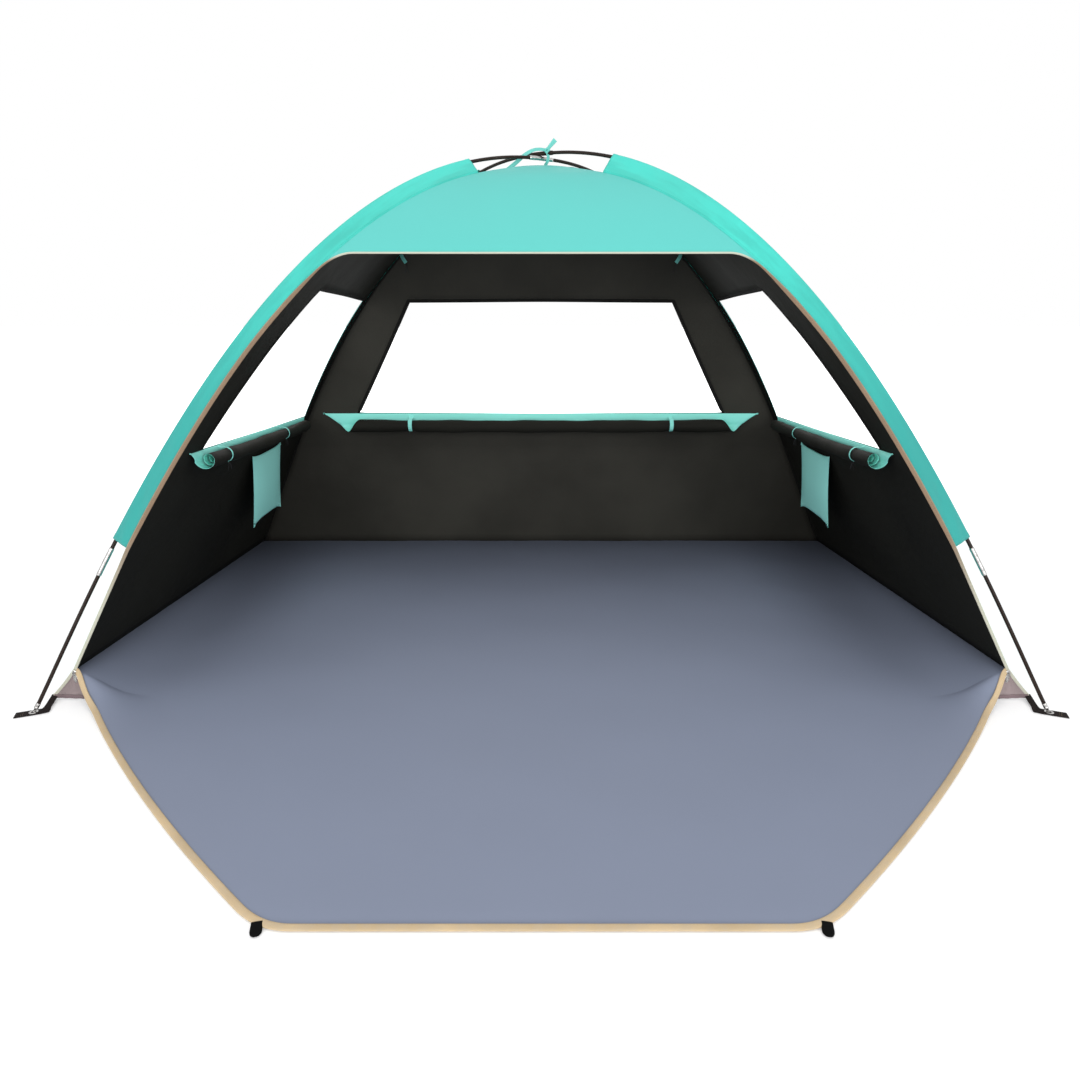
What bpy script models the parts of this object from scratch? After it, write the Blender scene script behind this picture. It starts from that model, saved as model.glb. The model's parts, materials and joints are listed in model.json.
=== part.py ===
"""Beach tent: a cloth canopy hung under two crossed, bowed poles, with a porch that folds up.

X runs across the tent, -Y is the open front and +Z is up, in metres. The ground is z = 0 and the
origin is the middle of the footprint box. The pieces are drawn in tent coordinates, whose middle is
straight under the pole crossing, and hang from an empty that carries them to their place.
"""
import math

import bmesh
import bpy
from mathutils import Matrix, Vector

# Cloth, webbing and clearances
CLOTH = 0.0012
WEBBING = 0.0020
RIBBON = 0.0010
GAP = 0.0003

# Floor and porch
FLOOR_REAR_WIDTH = 2.20
FLOOR_FRONT_WIDTH = 2.292
FLOOR_DEPTH = 1.20
PORCH_LENGTH = 0.683
PORCH_BASE_WIDTH = 2.170
PORCH_FRONT_WIDTH = 0.850
PORCH_EDGE_BULGE = 0.023
PORCH_CORNER_RUN = 0.060
PORCH_EDGE_FACETS = 8
PORCH_CORNER_FACETS = 6
PORCH_BINDING_WIDTH = 0.015

# Poles: the bow is the height of the pole's centre line over the distance from the crossing
CROSSING_HEIGHT = 1.266
POLE_FOOT_X = 1.167
POLE_FOOT_Y = 0.671
BOW_POWER = 2.11
BOW_ROOT_POWER = 0.95
ROD_DIAMETER = 0.0085
ROD_WALL = 0.0024
CORD_DIAMETER = 0.0024
FERRULE_DIAMETER = 0.0110
FERRULE_CLEARANCE = 0.00035
FERRULE_LENGTH = 0.070
FIRST_JOINT_FROM_FOOT = 0.388
HIDDEN_JOINTS = 2
ROD_POINT_SPACING = 0.11
FERRULE_STEP = 0.0010
TIP_PIN_DIAMETER = 0.0060
TIP_PIN_LENGTH = 0.016
TIP_HEAD_DIAMETER = 0.0098
TIP_LENGTH = 0.034
TIP_GROUND_CLEARANCE = 0.0002
BOW_SAMPLES = 2000

# Pole sleeves: a flat tunnel whose root seam is also the canopy's ridge seam
SLEEVE_WIDTH = 0.050
SLEEVE_RADIUS = 0.0075
SLEEVE_PLY = 0.0008
SLEEVE_ROOT_HALF = 0.0010
SLEEVE_LOW_HEIGHT = 0.385
SLEEVE_TOP_REACH = 0.209
SLEEVE_TOP_ANGLE = math.radians(45.8)
SLEEVE_LOW_ANGLE = math.radians(63.0)
SLEEVE_ROUND_DEGREES = (85, 120, 150, 180, 210, 240, 275)
LEAN_TOP_SHARE = 0.15
LEAN_LOW_SHARE = 0.60
SEAM_FACETS_ABOVE_WINDOWS = 5
WINDOW_FACETS = 3

# Canopy
CANOPY_DROP = 0.027
DOME_MIDDLE_SHARE = 0.5
APEX_HOLE_SHARE = 0.06
VISOR_HEIGHT = 1.000
OPENING_BINDING_WIDTH = 0.011
OPENING_BINDING_THICKNESS = 0.0020

# Side windows: heights at the front and rear seams, then how far fore and aft the hole reaches
SIDE_SILL_FRONT = 0.5625
SIDE_SILL_REAR = 0.504
SIDE_TOP_FRONT = 0.935
SIDE_TOP_REAR = 0.905
SIDE_WINDOW_SILL_Y = (-0.390, 0.505)
SIDE_WINDOW_TOP_Y = (-0.200, 0.345)

# Rear window
REAR_SILL = 0.512
REAR_TOP = 0.903
REAR_WINDOW_SILL_HALF = 0.667
REAR_WINDOW_TOP_HALF = 0.432

# Rolled window flaps
ROLL_RADIUS = 0.025
ROLL_DROP = 0.037
ROLL_PITCH = 0.006
ROLL_TURNS = 2.5
ROLL_STEPS_PER_TURN = 14
FLAP_HINGE_CLEARANCE = 0.0007
SIDE_FLAP_Y = (-0.463, 0.485)
SIDE_ROLL_Y = (-0.410, 0.440)
REAR_FLAP_HALF = 0.800
REAR_ROLL_HALF = 0.710
ROLL_STRAP_WIDTH = 0.014
ROLL_STRAP_CLEARANCE = 0.0004
ROLL_STRAP_FIRST_STEP = 9
ROLL_STRAP_LAST_STEP = 2
SIDE_STRAP_Y = (-0.300, 0.180)
REAR_STRAP_X = 0.475

# Hanging pockets
POCKET_WIDTH = 0.250
POCKET_HEIGHT = 0.225
POCKET_DEPTH = 0.012
POCKET_TOP_HEIGHT = 0.450
POCKET_MIDDLE_Y = 0.185

# Corner fittings
FOOT_STRAP_WIDTH = 0.025
FOOT_STRAP_TAIL = 0.040
GROMMET_HOLE_RADIUS = 0.0066
GROMMET_BORE_RADIUS = 0.0050
GROMMET_FLANGE_RADIUS = 0.0095
GROMMET_FLANGE = 0.0010
GROMMET_SIDES = 24
GUSSET_HEIGHT = 0.052
GUSSET_REACH = 0.014
GUSSET_INNER_WIDTH = 0.046
GUSSET_FOOT_HEIGHT = 0.0035
PEG_TAB_WIDTH = 0.020
PEG_TAB_LENGTH = 0.028
PEG_TAB_ARC_STEPS = 8
PEG_TAB_SPLAY_SHARE = 0.25

# Zip sliders and their pulls
SLIDER_HEIGHT = 0.065
SLIDER_SIZE = (0.011, 0.005, 0.013)
SLIDER_BEVEL = 0.0012
PULL_SIZE = (0.0065, 0.0012, 0.024)
PULL_EYE_RADIUS = 0.0015
PULL_EYE_INSET = 0.0035
PULL_PLAY = 0.0004
PULL_ARC_STEPS = 6
PULL_EYE_SIDES = 10

# Ribbon tie at the crossing
TIE_PATCH_RADIUS = 0.018
TIE_RING_RADIUS = 0.0145
TIE_WIDTH = 0.008
TIE_KNOT_RADIUS = 0.006
TIE_TAIL_LENGTH = 0.030
TIE_TAIL_WIDTH = 0.0056
TIE_STEM_WIDTH = 0.0072
TIE_SIDES = 20
TIE_KNOT_LEAN = math.radians(19)
TIE_TAIL_RISE = math.radians(41)

# Sizes that follow from the ones above
HALF_REAR_WIDTH = FLOOR_REAR_WIDTH / 2
HALF_FRONT_WIDTH = FLOOR_FRONT_WIDTH / 2
HALF_DEPTH = FLOOR_DEPTH / 2
POLE_REACH = math.hypot(POLE_FOOT_X, POLE_FOOT_Y)
POLE_DIRECTION = Vector((POLE_FOOT_X, POLE_FOOT_Y, 0.0)).normalized()
SIDE_DIRECTION = Vector((-POLE_DIRECTION.y, POLE_DIRECTION.x, 0.0))
ROD_RADIUS = ROD_DIAMETER / 2
FERRULE_RADIUS = FERRULE_DIAMETER / 2
CROSSING_HALF = (FERRULE_DIAMETER + GAP) / 2
CANOPY_TOP_HEIGHT = CROSSING_HEIGHT - CANOPY_DROP
MERGE_DISTANCE = GAP / 30
SOLVER_HALVINGS = 60
STRAP_REACH = POLE_REACH + FOOT_STRAP_TAIL
REAR_EXTENT = STRAP_REACH * POLE_DIRECTION.y + FOOT_STRAP_WIDTH / 2 * POLE_DIRECTION.x
FRONT_EXTENT = HALF_DEPTH + GAP + PORCH_LENGTH + PEG_TAB_LENGTH
TENT_MIDDLE = Vector((0.0, (FRONT_EXTENT - REAR_EXTENT) / 2, 0.0))


def clear_scene():
    for obj in list(bpy.data.objects):
        bpy.data.objects.remove(obj, do_unlink=True)


def make_collection(name):
    collection = bpy.data.collections.new(name)
    bpy.context.scene.collection.children.link(collection)
    return collection


def make_material(name, colour, roughness, metallic=0.0):
    material = bpy.data.materials.new(name)
    material.use_nodes = True
    material.diffuse_color = (*colour, 1.0)
    shader = material.node_tree.nodes["Principled BSDF"]
    shader.inputs["Base Color"].default_value = (*colour, 1.0)
    shader.inputs["Roughness"].default_value = roughness
    shader.inputs["Metallic"].default_value = metallic
    return material


def add_pivot(name, place):
    """An empty on a hinge line, which carries the pieces that turn about it."""
    pivot = bpy.data.objects.new(name, None)
    pivot.location = place
    pivot.parent = TENT
    HELPERS.objects.link(pivot)
    return pivot


def add_object(name, data, materials, place=Vector((0.0, 0.0, 0.0)), parent=None):
    """Link data as a named piece at a place measured from its parent, or from the tent's middle."""
    obj = bpy.data.objects.new(name, data)
    obj.location = place
    obj.parent = parent or TENT
    for material in materials:
        data.materials.append(material)
    PIECES.objects.link(obj)
    return obj


def mesh_from(bm, name):
    mesh = bpy.data.meshes.new(name)
    bm.to_mesh(mesh)
    bm.free()
    return mesh


def solidify(obj, thickness, inner_material=0):
    """Give an open surface its wall, on the side its faces point away from."""
    modifier = obj.modifiers.new("Wall", "SOLIDIFY")
    modifier.thickness = thickness
    modifier.offset = -1.0
    modifier.use_even_offset = True
    modifier.material_offset = inner_material
    modifier.material_offset_rim = inner_material


def lerp(start, end, share):
    return start + (end - start) * share


def lerp_list(start, end, count):
    """The values that cut start to end into count equal steps, both ends included."""
    return [lerp(start, end, step / count) for step in range(count + 1)]


def solve(function, target, low, high):
    """The value between low and high where a falling function meets the target."""
    for _ in range(SOLVER_HALVINGS):
        middle = (low + high) / 2
        if function(middle) > target:
            low = middle
        else:
            high = middle
    return (low + high) / 2


# The bow of a pole
def bow_height(reach, top=CROSSING_HEIGHT):
    return top * (1.0 - min(reach / POLE_REACH, 1.0) ** BOW_POWER) ** (1.0 / BOW_ROOT_POWER)


def bow_slope(reach, top=CROSSING_HEIGHT):
    step = POLE_REACH / BOW_SAMPLES / 2
    inner = max(reach - step, 0.0)
    outer = min(reach + step, POLE_REACH)
    return (bow_height(outer, top) - bow_height(inner, top)) / (outer - inner)


def bow_point(reach, top=CROSSING_HEIGHT):
    point = POLE_DIRECTION * reach
    point.z = bow_height(reach, top)
    return point


def bow_samples(top):
    """Reaches from foot to crossing, and how far along the bow each one lies from the foot."""
    reaches = [POLE_REACH * math.cos(math.pi / 2 * step / BOW_SAMPLES) for step in range(BOW_SAMPLES + 1)]
    points = [bow_point(reach, top) for reach in reaches]
    walked = [0.0]
    for last, point in zip(points, points[1:]):
        walked.append(walked[-1] + (point - last).length)
    return reaches, walked


def reach_after(distance, reaches, walked):
    """The reach of the first sample that lies at least this far along the bow from the foot."""
    for reach, length in zip(reaches, walked):
        if length >= distance:
            return reach
    return 0.0


# The ridge seam, in the quadrant x > 0, y > 0; the other three are its mirror images
def sleeve_lean(reach):
    """The angle by which the sleeve leans out of the pole's own plane."""
    share = (reach / POLE_REACH - LEAN_TOP_SHARE) / (LEAN_LOW_SHARE - LEAN_TOP_SHARE)
    return lerp(SLEEVE_TOP_ANGLE, SLEEVE_LOW_ANGLE, min(max(share, 0.0), 1.0))


def seam_under_pole(reach):
    slope = bow_slope(reach)
    outward = (Vector((0.0, 0.0, 1.0)) - POLE_DIRECTION * slope).normalized()
    lean = sleeve_lean(reach)
    inset = outward * (SLEEVE_WIDTH * math.cos(lean))
    shift = SIDE_DIRECTION * (SLEEVE_WIDTH * math.sin(lean))
    return bow_point(reach) - inset + shift


SLEEVE_LOW_REACH = solve(bow_height, SLEEVE_LOW_HEIGHT, 0.0, POLE_REACH)
REAR_CORNER = Vector((HALF_REAR_WIDTH, HALF_DEPTH, 0.0))
FRONT_CORNER = Vector((HALF_FRONT_WIDTH, HALF_DEPTH, 0.0))
SEAM_LOW = seam_under_pole(SLEEVE_LOW_REACH)
SEAM_TOP = seam_under_pole(SLEEVE_TOP_REACH)
WALL_LEAN = math.atan2(HALF_FRONT_WIDTH - SEAM_LOW.x, SEAM_LOW.z)
WALL_FOOT = CLOTH + GAP + OPENING_BINDING_THICKNESS * math.sin(WALL_LEAN)


def smooth_seam(height, corner):
    """The seam's point at a height: straight up from its corner, under the pole, then a low dome."""
    if height <= SEAM_LOW.z:
        return lerp(corner, SEAM_LOW, height / SEAM_LOW.z)
    if height <= SEAM_TOP.z:
        return seam_under_pole(seam_reach(height))
    share = math.sqrt((CANOPY_TOP_HEIGHT - height) / (CANOPY_TOP_HEIGHT - SEAM_TOP.z))
    return Vector((SEAM_TOP.x * share, SEAM_TOP.y * share, height))


def seam_reach(height):
    return solve(lambda value: seam_under_pole(value).z, height, SLEEVE_TOP_REACH, SLEEVE_LOW_REACH)


def dome_height(share):
    """The height of the seam at a share of the way from the peak out to the sleeve's top end."""
    return CANOPY_TOP_HEIGHT - (CANOPY_TOP_HEIGHT - SEAM_TOP.z) * share ** 2


def seam_stations(sill, top):
    """Heights where a seam bends: the pieces that meet along it all bend at these same places."""
    reaches = lerp_list(seam_reach(top), SLEEVE_TOP_REACH, SEAM_FACETS_ABOVE_WINDOWS)
    above = [seam_under_pole(reach).z for reach in reaches[1:]]
    dome = [dome_height(DOME_MIDDLE_SHARE), dome_height(APEX_HOLE_SHARE)]
    return [WALL_FOOT, SEAM_LOW.z] + lerp_list(sill, top, WINDOW_FACETS) + above + dome


def seam_at(height, seam):
    """The point at a height on a faceted seam, which is the list of its bends."""
    for lower, upper in zip(seam, seam[1:]):
        if height <= upper.z:
            return lerp(lower, upper, (height - lower.z) / (upper.z - lower.z))
    return seam[-1]


FRONT_STATIONS = seam_stations(SIDE_SILL_FRONT, SIDE_TOP_FRONT)
REAR_STATIONS = seam_stations(SIDE_SILL_REAR, SIDE_TOP_REAR)
FRONT_SEAM = [smooth_seam(height, FRONT_CORNER) for height in FRONT_STATIONS]
REAR_SEAM = [smooth_seam(height, REAR_CORNER) for height in REAR_STATIONS]


def seam_tangents(points):
    last = len(points) - 1
    return [(points[min(i + 1, last)] - points[max(i - 1, 0)]).normalized() for i in range(last + 1)]


def mitre_setbacks(points, along, other):
    """How far a panel stops short of the seam, so that two walls of one thickness meet and don't cross.

    along points from the seam into this panel and other into its neighbour. The distance is measured
    along this panel's row, because that is the way its rows run.
    """
    setbacks = []
    for tangent in seam_tangents(points):
        mine = along - tangent * tangent.dot(along)
        theirs = other - tangent * tangent.dot(other)
        half_angle = mine.angle(theirs) / 2
        distance = CLOTH / math.tan(half_angle) + GAP / math.sin(half_angle)
        setbacks.append(distance / mine.length)
    return setbacks


def binding_setbacks(points):
    """How far the side panel stays behind the opening's binding, which lies in the front surface."""
    setbacks = []
    for tangent in seam_tangents(points):
        lean = abs(tangent.y / tangent.z)
        setbacks.append(OPENING_BINDING_THICKNESS * math.hypot(1.0, lean) + GAP)
    return setbacks


def add_sheet(name, rows, hole, materials, thickness, inner_material=0, flip=False):
    """A cloth panel: rows of points from the bottom up, with the faces of one patch left out.

    hole holds the first and last row and the first and last column of the patch, or is None.
    """
    bm = bmesh.new()
    grid = [[bm.verts.new(point) for point in row] for row in rows]
    for i in range(len(grid) - 1):
        for j in range(len(grid[0]) - 1):
            if hole and hole[0] <= i < hole[1] and hole[2] <= j < hole[3]:
                continue
            corners = [grid[i][j], grid[i][j + 1], grid[i + 1][j + 1], grid[i + 1][j]]
            bm.faces.new(reversed(corners) if flip else corners)
    obj = add_object(name, mesh_from(bm, name), materials)
    solidify(obj, thickness, inner_material)
    return obj


def mirror_x(point):
    return Vector((-point.x, point.y, point.z))


# Side panels
def side_edges():
    """The front and rear end of each row of the right-hand side panel."""
    inward = Vector((0.0, -1.0, 0.0))
    across = Vector((-1.0, 0.0, 0.0))
    rear_back = mitre_setbacks(REAR_SEAM, inward, across)
    front_mitre = mitre_setbacks(FRONT_SEAM, inward, across)
    front_bound = binding_setbacks(FRONT_SEAM)
    edges = []
    for i, (seam, rear) in enumerate(zip(FRONT_SEAM, REAR_SEAM)):
        bound = FRONT_STATIONS[max(i - 1, 0)] <= VISOR_HEIGHT + OPENING_BINDING_WIDTH
        front_back = max(front_bound[i], front_mitre[i]) if bound else front_mitre[i]
        front_end = Vector((seam.x, -seam.y + front_back, seam.z))
        rear_end = Vector((rear.x, rear.y - rear_back[i], rear.z))
        edges.append((front_end, rear_end))
    return edges


def side_panel_rows():
    edges = side_edges()
    sill_row = 2
    top_row = sill_row + WINDOW_FACETS
    rows = []
    for i, (front, rear) in enumerate(edges):
        level = min(max((i - sill_row) / WINDOW_FACETS, 0.0), 1.0)
        nearest = edges[min(max(i, sill_row), top_row)]
        shares = []
        for sill_y, top_y in zip(SIDE_WINDOW_SILL_Y, SIDE_WINDOW_TOP_Y):
            y = lerp(sill_y, top_y, level)
            shares.append((y - nearest[0].y) / (nearest[1].y - nearest[0].y))
        rows.append([front, lerp(front, rear, shares[0]), lerp(front, rear, shares[1]), rear])
    return rows, (sill_row, top_row, 1, 2)


def side_wall_x(y, height):
    """Where the right-hand side panel's outer face stands, read on its own facets."""
    sections = []
    for front, rear in side_edges():
        sections.append(lerp(front, rear, (y - front.y) / (rear.y - front.y)))
    for lower, upper in zip(sections, sections[1:]):
        if lower.z <= height <= upper.z:
            return lerp(lower.x, upper.x, (height - lower.z) / (upper.z - lower.z))
    return sections[0].x


def side_wall_lean(y, height):
    """How far the side panel moves outwards for each metre down, just below a height."""
    return (side_wall_x(y, height - SLEEVE_WIDTH) - side_wall_x(y, height)) / SLEEVE_WIDTH


def make_side_panels():
    rows, hole = side_panel_rows()
    mirrored = [[mirror_x(point) for point in row] for row in rows]
    cloth = [TEAL_CLOTH, BLACK_CLOTH]
    add_sheet("side_panel_right", rows, hole, cloth, CLOTH, 1)
    add_sheet("side_panel_left", mirrored, hole, cloth, CLOTH, 1, flip=True)


# Rear and front panels
def cross_rows(heights, seam, sign):
    """Rows across the rear (sign 1) or front (sign -1) surface, each stopping short of both seams."""
    points = [seam_at(height, seam) for height in heights]
    across = Vector((-1.0, 0.0, 0.0))
    inward = Vector((0.0, -1.0, 0.0))
    backs = mitre_setbacks(points, across, inward)
    ends = []
    for point, back in zip(points, backs):
        ends.append(Vector((point.x - back, sign * point.y, point.z)))
    return ends


def make_rear_panel():
    heights = sorted(REAR_STATIONS + [REAR_SILL, REAR_TOP])
    sill_row = heights.index(REAR_SILL)
    top_row = heights.index(REAR_TOP)
    ends = cross_rows(heights, REAR_SEAM, 1)
    rows = []
    for end in ends:
        nearest = min(max(end.z, REAR_SILL), REAR_TOP)
        level = (nearest - REAR_SILL) / (REAR_TOP - REAR_SILL)
        width = seam_at(nearest, REAR_SEAM).x
        share = lerp(REAR_WINDOW_SILL_HALF, REAR_WINDOW_TOP_HALF, level) / width
        inner = Vector((end.x * share, end.y, end.z))
        rows.append([end, inner, mirror_x(inner), mirror_x(end)])
    add_sheet("rear_panel", rows, (sill_row, top_row, 1, 2), [TEAL_CLOTH, BLACK_CLOTH], CLOTH, 1)


def make_visor():
    edge = VISOR_HEIGHT + OPENING_BINDING_WIDTH + GAP
    heights = [edge] + [height for height in FRONT_STATIONS if height > edge]
    rows = [[mirror_x(end), end] for end in cross_rows(heights, FRONT_SEAM, -1)]
    add_sheet("visor_panel", rows, None, [TEAL_CLOTH, BLACK_CLOTH], CLOTH, 1)


def front_surface_point(x, height):
    return Vector((x, -seam_at(height, FRONT_SEAM).y, height))


def make_opening_binding():
    """One tape up the right leg of the opening, along the visor's edge and down the left leg."""
    upper_edge = VISOR_HEIGHT + OPENING_BINDING_WIDTH
    heights = [height for height in FRONT_STATIONS if height < VISOR_HEIGHT]
    rungs = []
    for height in heights + [VISOR_HEIGHT]:
        outer_x = seam_at(height, FRONT_SEAM).x - GAP
        outer = front_surface_point(outer_x, height)
        inner = front_surface_point(outer_x - OPENING_BINDING_WIDTH, height)
        rungs.append((outer, inner))
    corner_inner = rungs.pop()[1]
    corner_x = seam_at(upper_edge, FRONT_SEAM).x - GAP
    rungs.append((front_surface_point(corner_x, upper_edge), corner_inner))
    rows = [list(rung) for rung in rungs]
    rows += [[mirror_x(outer), mirror_x(inner)] for outer, inner in reversed(rungs)]
    add_sheet("opening_binding", rows, None, [TAPE], OPENING_BINDING_THICKNESS, flip=True)


# Flat cloth on the ground
def add_plate(name, outlines, thickness, materials, place=Vector((0.0, 0.0, 0.0)), parent=None):
    """A flat piece from closed outlines, its underside at place; a second outline is a hole."""
    curve = bpy.data.curves.new(name, "CURVE")
    curve.dimensions = "2D"
    curve.fill_mode = "BOTH"
    curve.extrude = thickness / 2
    for outline in outlines:
        spline = curve.splines.new("POLY")
        spline.points.add(len(outline) - 1)
        for point, (x, y) in zip(spline.points, outline):
            point.co = (x, y, 0.0, 1.0)
        spline.use_cyclic_u = True
    return add_object(name, curve, materials, place + Vector((0.0, 0.0, thickness / 2)), parent)


def circle(radius, sides):
    return [(radius * math.cos(2 * math.pi * i / sides), radius * math.sin(2 * math.pi * i / sides))
            for i in range(sides)]


def make_main_floor():
    """The floor's rear corners are cut square to the poles, where the rear foot straps are sewn on."""
    cut = FOOT_STRAP_WIDTH * POLE_DIRECTION.y
    rise = FOOT_STRAP_WIDTH * POLE_DIRECTION.x
    edge = [(HALF_REAR_WIDTH, HALF_DEPTH - rise), (HALF_REAR_WIDTH - cut, HALF_DEPTH)]
    right = [(HALF_FRONT_WIDTH, -HALF_DEPTH)] + edge
    outline = right + [(-x, y) for x, y in reversed(right)]
    add_plate("main_floor", [outline], CLOTH, [FLOOR_CLOTH])


def porch_side():
    """The right edge of the porch, from its base to the middle of the front: bowed, then rounded."""
    base = Vector((PORCH_BASE_WIDTH / 2, 0.0))
    corner = Vector((PORCH_FRONT_WIDTH / 2, -PORCH_LENGTH))
    run = corner - base
    normal = Vector((-run.y, run.x)).normalized()
    edge = []
    for share in lerp_list(0.0, 1.0, PORCH_EDGE_FACETS):
        edge.append(base + run * share + normal * (PORCH_EDGE_BULGE * 4 * share * (1 - share)))
    start = lerp(edge[-1], edge[-2], PORCH_CORNER_RUN / (edge[-1] - edge[-2]).length)
    end = corner - Vector((PORCH_CORNER_RUN, 0.0))
    arc = []
    for share in lerp_list(0.0, 1.0, PORCH_CORNER_FACETS):
        arc.append(start * (1 - share) ** 2 + corner * (2 * share * (1 - share)) + end * share ** 2)
    return edge[:-1] + arc


def inset_path(points, distance):
    """The same open path moved to its right-hand side, vertex by vertex; its ends move along the base."""
    moved = []
    last = len(points) - 1
    for i, point in enumerate(points):
        before = (point - points[i - 1]).normalized() if i > 0 else None
        after = (points[i + 1] - point).normalized() if i < last else None
        before = before or after
        after = after or before
        mean = (before + after).normalized()
        normal = Vector((mean.y, -mean.x))
        if i == 0:
            moved.append(point - Vector((distance / abs(after.y), 0.0)))
        else:
            moved.append(point + normal * (distance / mean.dot(after)))
    return moved


def porch_outline(inset):
    """The whole free edge of the porch, right base to left base, moved in by inset."""
    side = inset_path(porch_side(), inset)
    return [tuple(point) for point in side] + [(-point.x, point.y) for point in reversed(side)]


def make_porch(hinge):
    seat = Vector((0.0, 0.0, -CLOTH))
    panel = porch_outline(PORCH_BINDING_WIDTH + GAP)
    ring = porch_outline(0.0) + list(reversed(porch_outline(PORCH_BINDING_WIDTH)))
    add_plate("porch_floor", [panel], CLOTH, [FLOOR_CLOTH], seat, hinge)
    add_plate("porch_binding", [ring], CLOTH, [TAPE], seat, hinge)


def make_peg_tabs(hinge):
    """A webbing tab on each rounded corner of the porch, seated square on the corner's slope."""
    side = porch_side()
    middle = -1 - PORCH_CORNER_FACETS // 2
    tangent = (side[middle + 1] - side[middle - 1]).normalized()
    normal = Vector((-tangent.y, tangent.x))
    half = PEG_TAB_WIDTH / 2
    seat = side[middle] + normal * GAP
    reach = PEG_TAB_LENGTH - half
    forward = Vector((normal.x * PEG_TAB_SPLAY_SHARE, -1.0)).normalized()
    across = Vector((-forward.y, forward.x))
    crown = Vector((seat.x, -PORCH_LENGTH - reach))
    outline = [seat - tangent * half, seat + tangent * half]
    ends = sorted(outline, key=lambda point: point.dot(across))
    for step in range(PEG_TAB_ARC_STEPS + 1):
        angle = math.pi * step / PEG_TAB_ARC_STEPS
        ends.append(crown + across * (half * math.cos(angle)) + forward * (half * math.sin(angle)))
    seat = Vector((0.0, 0.0, -CLOTH))
    for name, mirror in (("peg_tab_right", 1), ("peg_tab_left", -1)):
        outline = [(mirror * point.x, point.y) for point in ends]
        add_plate(name, [outline], WEBBING, [WEBBING_CLOTH], seat, hinge)


# Poles
def tube_object(name, points, radius, materials, radii=None, resolution=2, caps=True):
    """A round bar along a list of places, as a curve; radii scales it at each point."""
    curve = bpy.data.curves.new(name, "CURVE")
    curve.dimensions = "3D"
    curve.bevel_depth = radius
    curve.bevel_resolution = resolution
    curve.use_fill_caps = caps
    curve.twist_mode = "Z_UP"
    spline = curve.splines.new("POLY")
    spline.points.add(len(points) - 1)
    for i, (target, point) in enumerate(zip(spline.points, points)):
        target.co = (*point, 1.0)
        target.radius = radii[i] if radii else 1.0
    return add_object(name, curve, materials)


def hollow_tube(name, points, radius, wall, material, radii=None, resolution=2):
    """The same bar with a bore: an open tube made a mesh, whose wall goes inwards."""
    rough = tube_object(name, points, radius, [material], radii, resolution, caps=False)
    graph = bpy.context.evaluated_depsgraph_get()
    mesh = bpy.data.meshes.new_from_object(rough.evaluated_get(graph))
    curve = rough.data
    bpy.data.objects.remove(rough)
    bpy.data.curves.remove(curve)
    mesh.materials.clear()
    solidify(add_object(name, mesh, [material]), wall)


def pole_half_line(top):
    """Half of a pole from foot to crossing, as places and the share of the rod's radius at each.

    Each joint is a straight stretch as long as its ferrule, and the one at the crossing ends level.
    """
    reaches, walked = bow_samples(top)
    section = (walked[-1] - FIRST_JOINT_FROM_FOOT) / (HIDDEN_JOINTS + 1)
    joints = [FIRST_JOINT_FROM_FOOT + section * k for k in range(HIDDEN_JOINTS + 2)]
    half = FERRULE_LENGTH / 2
    marks = [(TIP_LENGTH, 1.0), (joints[0] - half, 1.0), (joints[0] + half, 1.0)]
    wide = FERRULE_RADIUS / ROD_RADIUS
    for before, joint in zip(joints, joints[1:]):
        start = before + half
        end = joint - half
        count = max(1, round((end - start) / ROD_POINT_SPACING))
        marks += [(lerp(start, end, step / count), 1.0) for step in range(1, count + 1)]
        if joint is not joints[-1]:
            marks += [(joint - half + FERRULE_STEP, wide), (joint + half - FERRULE_STEP, wide)]
            marks.append((joint + half, 1.0))
    places = [bow_point(reach_after(distance, reaches, walked), top) for distance, _ in marks]
    return places, [share for _, share in marks]


def foot_point():
    """The end of the tip's pin, just clear of the ground although the pole comes down slanting."""
    slant = 1.0 / math.hypot(1.0, bow_slope(POLE_REACH))
    point = bow_point(POLE_REACH)
    point.z = TIP_PIN_DIAMETER / 2 * slant + TIP_GROUND_CLEARANCE
    return point


def turned_to(sign_x, sign_y, point):
    return Vector((sign_x * point.x, sign_y * point.y, point.z))


def make_pole(label, top, front_sign):
    """One pole, from the front foot on side front_sign to the rear foot on the other side."""
    places, widths = pole_half_line(top)
    front = [turned_to(front_sign, -1, point) for point in places]
    rear = [turned_to(-front_sign, 1, point) for point in places]
    crossing = Vector((0.0, 0.0, places[-1].z))
    for end, signs, line in (("front", (front_sign, -1), front), ("rear", (-front_sign, 1), rear)):
        tag = f"pole_{label}_{end}"
        joint = (line[1] + line[2]) / 2
        make_tip(f"{tag}_tip", turned_to(*signs, foot_point()), line[0])
        make_lower_rod(f"{tag}_lower_rod", line, joint)
        make_upper_rod(f"{tag}_upper_rod", line, widths, joint, crossing)
        make_ferrule(f"{tag}_ferrule", line[1], line[2])
    make_ferrule(f"pole_{label}_crossing_ferrule", front[-1], rear[-1])
    make_cord(f"pole_{label}_shock_cord", front, rear)


def stop_short(start, end, distance):
    """The point on the way from start to end that lies distance before the end."""
    return end + (start - end).normalized() * distance


def make_tip(name, foot, head_top):
    """A steel tip: a pin that stands in the grommet, and a head as wide as the rod's end."""
    shoulder = foot + (head_top - foot).normalized() * TIP_PIN_LENGTH
    step = foot + (head_top - foot).normalized() * (TIP_PIN_LENGTH + FERRULE_STEP)
    end = stop_short(foot, head_top, GAP)
    points = [foot, shoulder, step, end]
    wide = TIP_HEAD_DIAMETER / TIP_PIN_DIAMETER
    tube_object(name, points, TIP_PIN_DIAMETER / 2, [STEEL], [1.0, 1.0, wide, wide])


def make_lower_rod(name, line, joint):
    points = [line[0], line[1], stop_short(line[1], joint, GAP / 2)]
    hollow_tube(name, points, ROD_RADIUS, ROD_WALL, FIBREGLASS)


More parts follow.
